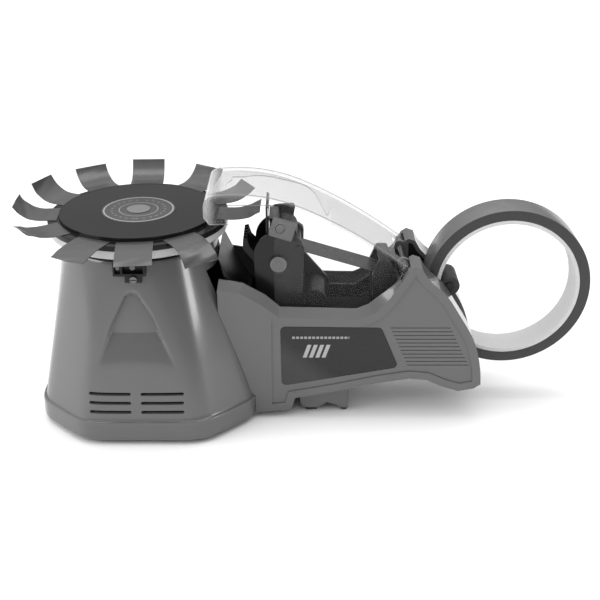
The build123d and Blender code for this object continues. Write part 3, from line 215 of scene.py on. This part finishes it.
def badge_foil():
    """Brushed dark foil badge: a light ring line near its rim, inner rings and a lighter boss."""
    look = Look("badge_foil", Metallic=0.35)
    x, y, _ = look.xyz()
    radius = (x * x + y * y) ** 0.5
    grain = look.noise(0.6, detail=3.0, stretch=(1, 9, 1))
    line = 1 - ((radius - 18.9).alone("ABSOLUTE")).ramp(0.22, 0.42)
    inner = 1 - ((radius - 10.6).alone("ABSOLUTE")).ramp(0.18, 0.36)
    dots = ((y / (x.alone("ABSOLUTE") + 0.001)).alone("ARCTANGENT") * 24.0).alone("SINE").ramp(0.2, 0.5)
    band = (1 - (radius - 14.6).alone("ABSOLUTE").ramp(0.5, 0.7)) * dots
    plain = look.shade(0.030, 0.075, grain)
    marked = look.blend(plain, (0.42, 0.42, 0.42, 1.0), (line * 0.9).most(inner * 0.5).most(band * 0.25))
    hub = look.blend(marked, (0.22, 0.22, 0.22, 1.0), (1 - radius.ramp(6.2, 6.7)) * 0.7)
    look.set(Base_Color=hub, Roughness=0.34 + (grain - 0.5) * 0.2)
    look.bump(grain, 0.02)
    return look


def tape_film():
    """Grey film: faint cloudiness, a satin gloss, and ripples across the strip."""
    look = Look("tape_film", Coat_Roughness=0.2)
    cloud = look.noise(5.0, detail=3.0)
    look.set(Base_Color=look.shade(0.030, 0.046, cloud), Coat_Weight=0.15)
    look.set(Roughness=0.30 + (look.noise(3.0) - 0.5) * 0.16)
    look.bump(look.noise(5.0, detail=1.0), 0.04)
    return look


ROLL_X, ROLL_Z, ROLL_R, CORE_R, CORE_BORE_R = 204.9, 72.4, 46.1, 40.3, 38.1


def roll_film():
    """The wound roll: fine turns on its two faces by distance from its centre, plain film outside."""
    look = Look("roll_film", Coat_Roughness=0.2)
    x, _, z = look.xyz()
    dx, dz = x - ROLL_X, z - ROLL_Z
    radius = (dx * dx + dz * dz) ** 0.5
    turns = look.node("ShaderNodeTexNoise", {"noise_dimensions": "1D"},
                      {"W": radius, "Scale": 7.0, "Detail": 4.0})
    outside = radius.over(ROLL_R - 0.25)
    face = look.shade(0.014, 0.034, turns)
    film = look.shade(0.080, 0.115, look.noise(6.0, detail=3.0))
    look.set(Base_Color=look.blend(face, film, outside), Coat_Weight=0.2 * outside)
    look.set(Roughness=0.42 - 0.14 * outside + (turns - 0.5) * 0.2)
    look.bump(turns * (1 - outside) + look.noise(3.0) * 0.25 * outside, 0.10)
    return look


def card():
    """Pale pressed card of the core, with fibres."""
    look = Look("card", Roughness=0.72)
    fibres = look.noise(1.4, detail=5.0, stretch=(1, 3, 1))
    look.set(Base_Color=look.shade(0.46, 0.62, fibres))
    look.bump(fibres, 0.06)
    return look


def clear_acrylic():
    """Clear cover: almost nothing on the side walls, a grey haze on the crown, grey cut edges, milky lip."""
    look = Look("clear_acrylic", IOR=1.45, Coat_Roughness=0.03)
    x, y, z = look.xyz()
    facing = look.node("ShaderNodeNewGeometry", {}, {}, "Normal")
    across = Reading(look, look.node("ShaderNodeSeparateXYZ", {}, {0: facing}).socket.node.outputs[1])
    side = y.alone("ABSOLUTE").over(21.9)
    flat_side = across.alone("ABSOLUTE").ramp(0.80, 0.95)
    edge = side * (1 - flat_side)
    rim = look.node("ShaderNodeLayerWeight", {}, {"Blend": 0.30}, "Facing")
    scuff = look.noise(0.9, detail=4.0, stretch=(0.5, 1, 1)).ramp(0.60, 0.80)
    lip = (1 - x.ramp(39.0, 46.0)) * z.ramp(113.0, 117.0)
    plain = look.shade(0.24, 0.20, edge.most(rim * 0.3))
    look.set(Base_Color=look.blend(plain, (0.62, 0.62, 0.62, 1.0), lip))
    look.set(Roughness=0.06 + scuff * 0.15)
    haze = 0.26 - 0.22 * side
    look.set(Alpha=(haze + edge * 0.62 + rim ** 3.0 * 0.45 + lip * 0.34 + scuff * 0.02).least(0.9))
    look.bump(look.noise(14.0, detail=1.0), 0.06)
    return look


def label_film():
    """Dark printed side label: a fine grid of dots, a painted highlight that lightens the colour low at the
    front, slanted bars.
    """
    look = Look("label_film", Coat_Roughness=0.1, Specular_IOR_Level=0.3)
    x, y, z = look.xyz()
    dot = ((x * 5.2).alone("SINE") * (z * 5.2).alone("SINE")).ramp(0.15, 0.6)
    # painted highlight: the colour is made lighter low at the front, where a sheen of light falls on the film
    painted_sheen = 1 - (x * 0.62 + z * 0.78 - 82.0).ramp(-3.0, 9.0)
    # the label's colour: printed dots plus the painted highlight
    dots_and_painted_sheen = look.shade(0.008, 0.048, dot * 0.35 + painted_sheen * 0.55)
    # three slanted bars and a thin broken line stand where such a label has its marks
    lean = x - z * 0.34
    inside = z.over(38.5) * z.under(46.5)
    bars = ((lean - 76.5).over(0.0) * (lean - 91.0).under(0.0)) * ((lean * 0.285).alone("FRACT").under(0.62))
    line = z.over(50.2) * z.under(51.6) * x.over(84.0) * x.under(116.0)
    dash = line * ((x * 0.45).alone("FRACT").under(0.72))
    marks = (inside * bars * 0.9).most(dash * 0.7) * (1 - y.over(0.0))
    look.set(Base_Color=look.blend(dots_and_painted_sheen, (0.40, 0.40, 0.40, 1.0), marks), Coat_Weight=0.15)
    look.set(Roughness=0.26 + dot * 0.10)
    look.bump(dot, 0.02)
    return look


def board_green():
    """Circuit board: green lacquer with lighter tracks and tinned pads."""
    look = Look("board_green", Coat_Weight=0.4)
    x, y, _ = look.xyz()
    tracks = ((x * 1.3).alone("SINE") * (y * 0.9).alone("SINE")).alone("ABSOLUTE").ramp(0.10, 0.16)
    look.set(Base_Color=look.shade((0.05, 0.16, 0.06), (0.01, 0.07, 0.025), tracks))
    look.set(Roughness=0.30 + look.noise(2.0) * 0.2)
    look.bump(tracks, 0.03)
    return look


def glass_eye():
    """Sensor lens: deep violet-black glass."""
    look = Look("glass_eye", Coat_Roughness=0.02, IOR=1.6)
    look.set(Base_Color=look.shade(0.006, (0.02, 0.012, 0.03), look.noise(1.0)), Coat_Weight=1.0)
    look.set(Roughness=0.04 + look.noise(0.8) * 0.05)
    return look


LOOKS = {
    "body_plastic": body_grey(),
    "black_plastic": moulded("tray_black", 0.0075, 0.36, grain_mm=0.9, depth=0.004, mottle=0.15, shine=0.25),
    "disc_gloss": disc_black(),
    "badge_foil": badge_foil(),
    "skirt_grey": moulded("flange_grey", 0.40, 0.28, coat=0.3, depth=0.008),
    "clear_acrylic": clear_acrylic(),
    "tape_film": tape_film(),
    "tape_side": roll_film(),
    "card": card(),
    "rubber": moulded("foot_rubber", 0.016, 0.62, grain_mm=0.5, depth=0.05, mottle=0.2),
    "roller_rubber": moulded("roller_rubber", 0.020, 0.50, grain_mm=0.35, depth=0.04, mottle=0.2),
    "steel": metal("bright_steel", 0.16, 0.38),
    "blade_steel": metal("blade_steel", 0.50, 0.20, streak=(1, 12, 1)),
    "dark_enamel": moulded("dark_enamel", 0.009, 0.30, grain_mm=1.4, depth=0.004, mottle=0.2, shine=0.3),
    "worn_grey": moulded("worn_grey", 0.10, 0.34, coat=0.2, grain_mm=0.4, depth=0.02, mottle=0.2),
    "gear_nylon": moulded("gear_nylon", 0.060, 0.42, grain_mm=0.5, depth=0.02, mottle=0.1),
    "brass": metal("brass", (0.66, 0.46, 0.20), 0.24),
    "board_green": board_green(),
    "chip_black": moulded("chip_black", 0.022, 0.46, grain_mm=0.3, depth=0.02, mottle=0.25),
    "label_film": label_film(),
    "sensor_glass": glass_eye(),
    "key_black": moulded("switch_key", 0.020, 0.22, coat=0.4, grain_mm=0.6, depth=0.006, mottle=0.1),
}


# ------------------------------------------------------------------ pieces
CREASE = 28.0             # degrees between two faces that make an edge worth rounding


def finish_of(node):
    """The material that a node shows."""
    return LOOKS[SLOT_OF[node]].material


def piece(name, mesh, node):
    """Puts a mesh in the scene in place of a node, on that node's body and with its slot's material."""
    thing = bpy.data.objects.new(name, mesh)
    bpy.context.scene.collection.objects.link(thing)
    mesh.materials.clear()
    mesh.materials.append(finish_of(node))
    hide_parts(node)
    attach(thing, BODY_OF[node])
    return thing


def smoothed(mesh, angle):
    """Smooth shading with a crease wherever two faces meet at more than this many degrees."""
    mesh.polygons.foreach_set("use_smooth", np.ones(len(mesh.polygons), dtype=bool))
    mesh.set_sharp_from_angle(angle=math.radians(angle))


def mesh_of(name, points, faces, angle=32.0):
    """A mesh from an (n, 3) array in mm and an array of quads, its doubles merged and its normals out."""
    mesh = bpy.data.meshes.new(name)
    mesh.from_pydata(placed(points).tolist(), [], faces.tolist())
    work = bmesh.new()
    work.from_mesh(mesh)
    bmesh.ops.remove_doubles(work, verts=work.verts, dist=2e-7)
    bmesh.ops.dissolve_degenerate(work, edges=work.edges, dist=1e-7)
    bmesh.ops.recalc_face_normals(work, faces=work.faces)
    work.to_mesh(mesh)
    work.free()
    smoothed(mesh, angle)
    return mesh


def quads(rows, columns, wrap_rows, wrap_columns):
    """Corner numbers of a grid's quads, joined end to start where it wraps."""
    i = np.arange(rows if wrap_rows else rows - 1)[:, None]
    j = np.arange(columns if wrap_columns else columns - 1)[None, :]
    after_i, after_j = (i + 1) % rows, (j + 1) % columns
    corners = [i * columns + j, i * columns + after_j, after_i * columns + after_j, after_i * columns + j]
    return np.stack(corners, axis=-1).reshape(-1, 4)


def eased(profile, radius, steps=4):
    """A closed (r, h) profile with every corner cut into a small arc that keeps to the given radius."""
    profile = np.asarray(profile, dtype=float)
    before = np.roll(profile, 1, axis=0) - profile
    after = np.roll(profile, -1, axis=0) - profile
    la, lb = np.linalg.norm(before, axis=1), np.linalg.norm(after, axis=1)
    cut = np.minimum(radius, 0.45 * np.minimum(la, lb))[:, None]
    start = profile + before / la[:, None] * cut
    end = profile + after / lb[:, None] * cut
    t = np.linspace(0, 1, steps + 1)[None, :, None]
    arc = (1 - t) ** 2 * start[:, None] + 2 * t * (1 - t) * profile[:, None] + t ** 2 * end[:, None]
    return arc.reshape(-1, 2)


def turned(name, profile, node, centre=(0.0, 0.0, 0.0), along="z", steps=160, ease=0.25):
    """A closed (r, h) profile carried once round an axis through the centre.

    Each point is at radius r and height h: centre + r * (cos a, sin a) + h * axis.
    """
    line = eased(profile, ease)
    a = np.linspace(0, 2 * math.pi, steps, endpoint=False)[None, :]
    r = line[:, 0][:, None] + 0 * a
    h = line[:, 1][:, None] + 0 * a
    if along == "z":
        points = np.stack([r * np.cos(a), r * np.sin(a), h], axis=-1)
    else:
        points = np.stack([r * np.cos(a), h, r * np.sin(a)], axis=-1)
    points = points.reshape(-1, 3) + np.asarray(centre)
    return piece(name, mesh_of(name, points, quads(len(line), steps, True, True)), node)


def bevelled(node, width):
    """A copy of a node with its doubles merged, flat faces joined, and its edges rounded by width in mm."""
    work = bmesh.new()
    work.from_mesh(NODES[node].data)
    bmesh.ops.remove_doubles(work, verts=work.verts, dist=2e-6)
    bmesh.ops.dissolve_limit(work, angle_limit=math.radians(0.4), verts=work.verts, edges=work.edges,
                             delimit={"NORMAL"})
    mesh = bpy.data.meshes.new(node)
    work.to_mesh(mesh)
    work.free()
    smoothed(mesh, CREASE)
    thing = piece("shaped_" + node, mesh, node)
    soft = thing.modifiers.new("soft edges", "BEVEL")
    soft.width = width * MM
    soft.segments = 2
    soft.limit_method = "ANGLE"
    soft.angle_limit = math.radians(CREASE)
    soft.harden_normals = True
    soft.use_clamp_overlap = True


# ------------------------------------------------------------------ tower
TOWER_TOP, TOWER_TOP_R = 102.0, 42.0
SKIRT_TOP, LEDGE, FOOT_H = 14.5, 1.6, 3.0
BASE_X, BASE_HALF_X, BASE_HALF_Y = 3.7, 61.0, 58.0
TOWER_WALL = 2.4
CHAMFER_SHARE, CORNER_POWER = 0.65, 24          # how far the octagon's corners are cut, how crisp they are
RIM, POCKET_DEPTH, SHELF = 2.5, 4.0, 6.5        # the top's rim width, and the pocket and shelf inside it

# the arch on the front: heights of its line at distances left and right of the middle
ARCH_LEFT = ([0.0, 3.0, 10.8, 19.7, 24.0], [88.0, 86.6, 71.0, 45.0, 30.0])
ARCH_RIGHT = ([0.0, 3.0, 10.4, 22.5, 27.0], [88.0, 87.0, 75.0, 45.0, 30.0])
ARCH_DEEPEST = 4.8

# the openings in the wall
SLOT_SPANS = ((-25.2, -2.4), (2.8, 26.2))       # left and right ends of the two columns of cooling slots
SLOT_ROWS, SLOT_LOWEST, SLOT_PITCH, SLOT_R = 3, 19.5, 5.1, 0.9
SENSOR_NOTCH = ((-8.65, -50, 95.35), (8.65, -30, 103))
ARM_WAY = ((30, -25, 8), (90, 25, 90))


def tower_ring(angles, z, inset, plinth=False):
    """x and y of the tower's outline at heights z.

    The outline is the high-power mean of an octagon's eight sides, blended into an ellipse by
    share ** 1.5, where share runs from 0 at the plinth to 1 at the top.
    """
    z = np.asarray(z, dtype=float)[:, None]
    share = np.clip((z - SKIRT_TOP) / (TOWER_TOP - SKIRT_TOP), 0, 1)
    out = 0.0 if plinth else LEDGE
    half_x = BASE_HALF_X - out + (TOWER_TOP_R - BASE_HALF_X + out) * share
    half_y = BASE_HALF_Y - out + (TOWER_TOP_R - BASE_HALF_Y + out) * share
    u, v = np.cos(angles)[None, :], np.sin(angles)[None, :]
    across, along = np.abs(u) / half_x, np.abs(v) / half_y
    sides = [across, along, (across + along) * CHAMFER_SHARE]
    flat = sum(s ** CORNER_POWER for s in sides) ** (-1 / CORNER_POWER)
    ring = 1 / np.hypot(u / half_x, v / half_y)
    r = flat + (ring - flat) * share ** 1.5 - inset
    return BASE_X * (1 - share) + r * u, r * v


def arch_depth(x, z):
    """How far the front sinks in under the arch.

    A pointed arch line falls from its apex to both feet. Below it the face slopes in over a band that
    is 9 mm tall at the apex and dies away at the feet, and then comes back out towards the plinth.
    """
    line = np.where(x < 0, np.interp(-x, *ARCH_LEFT), np.interp(x, *ARCH_RIGHT))
    below = line - z
    share = np.clip((z - 43.0) / 45.0, 0, 1)
    band = 1.2 + 7.5 * share
    t = np.clip(below / band, 0, 1)
    back = np.clip((z - 40.0) / 26.0, 0, 1)
    return ARCH_DEEPEST * (t * t * (3 - 2 * t)) * share ** 0.7 * (back * back * (3 - 2 * back))


def make_tower():
    """The tower as one closed wall: up the outside, over the rim, down the pocket and the inside.

    Rows of the grid are levels of that walk, columns are 420 directions round the axis.
    """
    columns = 420
    angles = np.linspace(0, 2 * math.pi, columns, endpoint=False) + math.radians(0.3)
    rows = []

    def level(z, inset, plinth=False):
        x, y = tower_ring(angles, [z], inset, plinth)
        if inset == 0 and not plinth:
            push = arch_depth(x, z) * (y < 0)
            size = np.hypot(x, y)
            x, y = x * (1 - push / size), y * (1 - push / size)
        rows.append(np.stack([x[0], y[0], np.full(columns, z)], axis=-1))

    def circle(z, r):
        rows.append(np.stack([r * np.cos(angles), r * np.sin(angles), np.full(columns, z)], axis=-1))

    level(FOOT_H, TOWER_WALL, True)
    level(FOOT_H, 1.2, True)
    level(FOOT_H + 0.1, 0.45, True)
    level(FOOT_H + 0.5, 0.1, True)
    level(FOOT_H + 1.1, 0.0, True)
    for z in (6.0, 9.0, 12.0, SKIRT_TOP - 0.9):
        level(z, 0.0, True)
    level(SKIRT_TOP - 0.3, 0.25, True)
    level(SKIRT_TOP, 0.8, True)
    level(SKIRT_TOP + 0.02, LEDGE - 0.35, True)
    level(SKIRT_TOP + 0.35, -0.12)
    below, arch, above = (SKIRT_TOP + 1.0, 42, 16), (43, 92, 62), (93, TOWER_TOP - 1.0, 8)
    for z in np.concatenate([np.linspace(*span) for span in (below, arch, above)]):
        level(float(z), 0.0)
    level(TOWER_TOP - 0.35, 0.12)
    level(TOWER_TOP, 0.6)
    circle(TOWER_TOP, TOWER_TOP_R - RIM + 0.4)
    circle(TOWER_TOP - 0.4, TOWER_TOP_R - RIM)
    circle(TOWER_TOP - POCKET_DEPTH, TOWER_TOP_R - RIM)
    circle(TOWER_TOP - POCKET_DEPTH, TOWER_TOP_R - SHELF)
    circle(TOWER_TOP - SHELF, TOWER_TOP_R - SHELF)
    for z in (TOWER_TOP - SHELF, 80.0, 58.0, 36.0, SKIRT_TOP):
        level(z, TOWER_WALL + 0.2)
    level(SKIRT_TOP - TOWER_WALL, TOWER_WALL, True)
    points = np.concatenate(rows)
    mesh = mesh_of("tower", points, quads(len(rows), columns, True, True))
    tower = piece("tower", mesh, "tower_shell")
    cutters = [slot_cutter(x0, x1, SLOT_LOWEST + row * SLOT_PITCH)
               for x0, x1 in SLOT_SPANS for row in range(SLOT_ROWS)]
    cutters.append(box_cutter("sensor_notch", *SENSOR_NOTCH))
    cutters.append(box_cutter("arm_way", *ARM_WAY))
    for cutter in cutters:
        cut = tower.modifiers.new("opening", "BOOLEAN")
        cut.operation = "DIFFERENCE"
        cut.solver = "EXACT"
        cut.object = cutter
    settled(tower, 30.0)
    for cutter in cutters:
        bpy.data.objects.remove(cutter)


def slot_cutter(x0, x1, z):
    """A cooling slot's cutter: a round-ended bar carried straight through the front wall."""
    t = np.linspace(-math.pi / 2, math.pi / 2, 9)
    right = np.stack([x1 - SLOT_R + SLOT_R * np.cos(t), z + SLOT_R * np.sin(t)], axis=-1)
    left = np.stack([x0 + SLOT_R - SLOT_R * np.cos(t), z - SLOT_R * np.sin(t)], axis=-1)
    return prism_cutter("slot", np.concatenate([right, left]), -BASE_HALF_Y - 2, -BASE_HALF_Y + 12)


def prism_cutter(name, outline, y0, y1):
    """An (x, z) outline carried from y0 to y1, with flat ends."""
    n = len(outline)
    ends = [np.stack([outline[:, 0], np.full(n, y), outline[:, 1]], axis=-1) for y in (y0, y1)]
    k = np.arange(n)
    sides = np.stack([k, (k + 1) % n, (k + 1) % n + n, k + n], axis=-1).tolist()
    mesh = bpy.data.meshes.new(name)
    caps = [list(range(n)), list(range(n, 2 * n))]
    mesh.from_pydata(placed(np.concatenate(ends)).tolist(), [], sides + caps)
    work = bmesh.new()
    work.from_mesh(mesh)
    bmesh.ops.recalc_face_normals(work, faces=work.faces)
    work.to_mesh(mesh)
    work.free()
    cutter = bpy.data.objects.new(name, mesh)
    bpy.context.scene.collection.objects.link(cutter)
    return cutter


def box_cutter(name, low, high):
    """A box between two corners in mm."""
    (x0, y0, z0), (x1, y1, z1) = low, high
    outline = np.array([(x0, z0), (x1, z0), (x1, z1), (x0, z1)], dtype=float)
    return prism_cutter(name, outline, y0, y1)


def settled(thing, angle):
    """Applies a piece's modifiers to its mesh, keeping its material, and shades it smooth again."""
    bpy.context.view_layer.update()
    ready = bpy.data.meshes.new_from_object(thing.evaluated_get(bpy.context.evaluated_depsgraph_get()))
    thing.modifiers.clear()
    thing.data = ready
    smoothed(ready, angle)


# ------------------------------------------------------------------ carousel
DISC_TOP, DISC_R = 116.0, 43.1
FLANGE_R, FLANGE_TOP, FLANGE_THICK = 49.5, 113.8, 3.0
LABEL_R = 20.3
FILM = 0.3
HALF_TAPE = 9.5
STRIP_START_R, STRIP_FLAT_R, STRIP_REACH = 43.6, 51.5, 69.0
FLAT_SHARE, FOLD_FROM = 0.3, 0.86               # share of a strip's rows that lie flat; where a fold starts
# place in degrees, rise of the tip, twist across the width, depth of the ripples, fold near the tip
STRIPS = [(-2, 5.0, 0.5, 0.25, 0), (28, 6.0, -0.4, 0.2, 0), (58, 8.0, 0.3, 0.2, 0),
          (92, 9.5, 0.0, 0.0, 0), (123, 9.5, -0.2, 0.1, 1), (154, 9.5, 0.4, 0.2, 0),
          (184, 8.5, -0.5, 0.3, 0), (213, 4.0, 0.6, 0.3, 0), (246, -2.5, -0.4, 0.3, 0),
          (275, -3.0, 0.2, 0.15, 0), (306, -8.0, 0.5, 0.45, 0)]


def make_carousel():
    """Disc with a slightly raised lip, badge with its boss, and the pale ring under the flange."""
    disc = [(0.05, 114.8), (4.0, 114.8), (4.0, 103.2), (12.0, 103.2), (12.0, 107.9), (12.3, 110.8),
            (FLANGE_R, 110.8), (FLANGE_R, FLANGE_TOP), (DISC_R, FLANGE_TOP), (DISC_R, DISC_TOP),
            (DISC_R - 1.1, DISC_TOP), (DISC_R - 1.5, DISC_TOP - 0.18), (LABEL_R + 0.15, DISC_TOP - 0.18),
            (LABEL_R + 0.15, DISC_TOP - 0.6), (0.05, DISC_TOP - 0.6)]
    turned("carousel_plate", disc, "carousel_disc", steps=256, ease=0.28)
    badge = [(0.05, DISC_TOP - 0.6), (LABEL_R, DISC_TOP - 0.6), (LABEL_R, DISC_TOP - 0.1),
             (6.6, DISC_TOP - 0.1), (6.6, DISC_TOP + 0.25), (0.05, DISC_TOP + 0.25)]
    turned("carousel_face_badge", badge, "carousel_badge", steps=192, ease=0.08)
    low = FLANGE_TOP - FLANGE_THICK - 5.2
    ring = [(FLANGE_R - 3.4, low), (FLANGE_R - 1.8, low), (FLANGE_R - 0.6, low + 1.2),
            (FLANGE_R - 0.6, low + 5.2), (FLANGE_R - 3.4, low + 5.2)]
    turned("carousel_pale_ring", ring, "carousel_skirt", steps=256, ease=0.3)


def make_strips():
    """Eleven strips: flat on the flange, then an arc of constant bend that ends `rise` above the flat.

    The centre surface at run s and place w across is (s, w, arc(s) + twist * w + ripple), where the
    ripple is two crossed sines that grow from nothing at the flange to full at the tip. A folded strip
    turns back down over its last 3 mm.
    """
    columns, rows = 15, 44
    all_points, all_faces, count = [], [], 0
    w = np.linspace(-HALF_TAPE, HALF_TAPE, columns)[None, :]
    for place, rise, twist, ripple, fold in STRIPS:
        run = STRIP_REACH - STRIP_FLAT_R - abs(rise) * 0.35
        bend = (run * run + rise * rise) / (2 * rise)
        sweep = 2 * math.atan2(rise, run)
        s = np.linspace(0, 1, rows)[:, None]
        t = np.clip((s - FLAT_SHARE) / (1 - FLAT_SHARE), 0, 1)
        flat = (STRIP_FLAT_R - STRIP_START_R) * np.clip(s / FLAT_SHARE, 0, 1)
        x = STRIP_START_R + flat + bend * np.sin(sweep * t)
        z = bend * (1 - np.cos(sweep * t))
        slope = sweep * t
        grown = t * t * (3 - 2 * t)
        wave = ripple * grown * (np.sin(2.4 * t * math.pi + place) * np.cos(w / HALF_TAPE * 2.1 + place * 0.5)
                                 + 0.5 * np.sin(5.1 * t * math.pi + w * 0.35 + place))
        lift = wave + twist * grown * (w / HALF_TAPE)
        last = np.clip((t - FOLD_FROM) / (1 - FOLD_FROM), 0, 1) * fold
        x = x + 0 * w - np.sin(slope) * lift - 0.4 * last
        z = z + 0 * w + np.cos(slope) * lift - 0.9 * last * last
        # both faces of the film, half a thickness either side along the arc's normal
        nx, nz = -np.sin(slope) * FILM / 2, np.cos(slope) * FILM / 2
        base = FLANGE_TOP + 0.03 + FILM / 2
        turn = math.radians(place)
        grids = []
        for side in (1, -1):
            px, pz = x + nx * side, z + nz * side + base
            grids.append(np.stack([px * math.cos(turn) - w * math.sin(turn) + 0 * px,
                                   px * math.sin(turn) + w * math.cos(turn) + 0 * px, pz], axis=-1))
        # walk round the film's section: across the top and back under it
        ring = np.concatenate([grids[0], grids[1][:, ::-1]], axis=1)
        across = 2 * columns
        body = quads(rows, across, False, True)
        k = np.arange(columns - 1)
        end = np.stack([k, k + 1, across - 2 - k, across - 1 - k], axis=-1)
        caps = [end + r * across for r in (0, rows - 1)]
        all_faces.append(np.concatenate([body, *caps]) + count)
        all_points.append(ring.reshape(-1, 3))
        count += rows * across
    mesh = mesh_of("strips", np.concatenate(all_points), np.concatenate(all_faces), angle=50.0)
    piece("cut_strips", mesh, "tape_strips")


# ------------------------------------------------------------------ roll
def make_roll():
    """The wound tape and the card core inside it."""
    for name, node, r0, r1, ease in (("wound_tape", "tape_roll", CORE_R + 0.02, ROLL_R, 0.22),
                                     ("card_core", "roll_core", CORE_BORE_R, CORE_R - 0.02, 0.35)):
        section = [(r0, -HALF_TAPE), (r1, -HALF_TAPE), (r1, HALF_TAPE), (r0, HALF_TAPE)]
        turned(name, section, node, centre=(ROLL_X, 0, ROLL_Z), along="y", steps=288, ease=ease)


# ------------------------------------------------------------------ everything else
# how far each node's edges are rounded, in mm
BEVELS = {
    "arm_shell_near": 0.7, "arm_shell_far": 0.7, "arm_underside": 0.4, "side_labels": 0.12,
    "feed_tray": 0.45, "pickup_sensor": 0.25, "sensor_lens": 0.15, "rubber_feet": 0.3,
    "clear_cover": 0.35, "feeder_plate_near": 0.25, "feeder_plate_far": 0.25, "strip_comb": 0.2,
    "clamp_block": 0.2, "guide_bracket": 0.3, "pinch_lever": 0.25, "pinch_roller": 0.12, "feed_roller": 0.12,
    "guide_roller": 0.2, "support_roller": 0.2, "core_idler": 0.2, "roll_arm": 0.2, "cradle_plates": 0.2,
    "cradle_pins": 0.15, "feed_shaft": 0.12, "feed_gear": 0.06, "middle_gear": 0.06, "feed_pinion": 0.06,
    "feed_motor": 0.4, "cutter_solenoid": 0.3, "blade_yoke": 0.1, "moving_blade": 0.03, "fixed_blade": 0.05,
    "exit_nose": 0.15, "tape_web": 0.04, "hinge_pin": 0.15, "screws": 0.1, "power_inlet": 0.2,
    "switch_frame": 0.25, "power_rocker": 0.25, "length_dial": 0.2, "dial_sensor": 0.2, "base_plate": 0.25,
    "spindle_frame": 0.3, "motor_mount": 0.3, "carousel_motor": 0.4, "spindle_gear": 0.08,
    "spindle_pinion": 0.06, "index_wheel": 0.08, "index_sensor": 0.2, "control_board": 0.1,
    "board_parts": 0.2, "spindle": 0.2, "spindle_bearings": 0.12,
}


# ------------------------------------------------------------------ room, lights and camera
# place, aim, length and width in metres, and watts
LIGHTS = {
    "key": ((-720, -330, 380), (-10, 0, 60), 0.5, 0.5, 4.2),
    "side": ((720, -290, 120), (35, -30, 85), 0.10, 0.12, 0.5),
    "top": ((60, 60, 700), (60, 0, 60), 0.7, 0.3, 2.0),
}
# the dome is dim near the horizon and bright overhead, so gloss stays dark and the floor white
DOME = {"From Min": 0.15, "From Max": 0.80, "To Min": 0.34, "To Max": 1.45}
FLOOR_HALF, FLOOR_LINES, FLOOR_DROP = 3000, 25, 0.05
CAMERA_PLACE, CAMERA_FALL, CAMERA_LENS = (88.80, -553.63, 321.82), 25.26, 64.2


def soft_light(name, place, aim, size, size_y, watts):
    """An area light at a place in mm, turned to face its aim."""
    lamp = bpy.data.lights.new(name, "AREA")
    lamp.shape = "RECTANGLE"
    lamp.size, lamp.size_y, lamp.energy = size, size_y, watts
    holder = bpy.data.objects.new(name, lamp)
    bpy.context.scene.collection.objects.link(holder)
    at, to = Vector(placed(place)), Vector(placed(aim))
    holder.location = at
    holder.rotation_euler = (to - at).to_track_quat("-Z", "Y").to_euler()


def make_room():
    """A pale floor, a white world, three soft lights, and the camera at the front, looking down."""
    u = np.linspace(-FLOOR_HALF, FLOOR_HALF, FLOOR_LINES)
    x, y = np.meshgrid(u, u, indexing="ij")
    floor_mesh = bpy.data.meshes.new("floor")
    points = np.stack([x, y, 0 * x - FLOOR_DROP], axis=-1).reshape(-1, 3)
    tiles = quads(FLOOR_LINES, FLOOR_LINES, False, False)
    floor_mesh.from_pydata(placed(points).tolist(), [], tiles.tolist())
    floor = bpy.data.objects.new("floor", floor_mesh)
    bpy.context.scene.collection.objects.link(floor)
    pale = Look("pale_floor", Roughness=0.6)
    pale.set(Base_Color=pale.shade(0.86, 0.90, pale.noise(400.0)))
    floor_mesh.materials.append(pale.material)
    world = bpy.data.worlds.new("studio")
    bpy.context.scene.world = world
    world.use_nodes = True
    sky = world.node_tree.nodes["Background"]
    sky.inputs["Strength"].default_value = 1.0
    nodes, links = world.node_tree.nodes, world.node_tree.links
    place = nodes.new("ShaderNodeTexCoord")
    split = nodes.new("ShaderNodeSeparateXYZ")
    links.new(place.outputs["Generated"], split.inputs[0])
    height = nodes.new("ShaderNodeMapRange")
    height.interpolation_type = "SMOOTHSTEP"
    for socket, value in DOME.items():
        height.inputs[socket].default_value = value
    links.new(split.outputs["Z"], height.inputs["Value"])
    links.new(height.outputs[0], sky.inputs["Color"])
    for name, settings in LIGHTS.items():
        soft_light(name, *settings)
    lens = bpy.data.cameras.new("camera")
    lens.lens, lens.sensor_width = CAMERA_LENS, 36.0
    lens.clip_start = 0.01
    camera = bpy.data.objects.new("camera", lens)
    bpy.context.scene.collection.objects.link(camera)
    camera.location = placed(CAMERA_PLACE)
    camera.rotation_euler = (math.radians(90 - CAMERA_FALL), 0, 0)
    bpy.context.scene.camera = camera
    bpy.context.scene.view_settings.view_transform = "Standard"


def main():
    make_tower()
    make_carousel()
    make_strips()
    make_roll()
    for node, width in BEVELS.items():
        bevelled(node, width)
    make_room()


main()
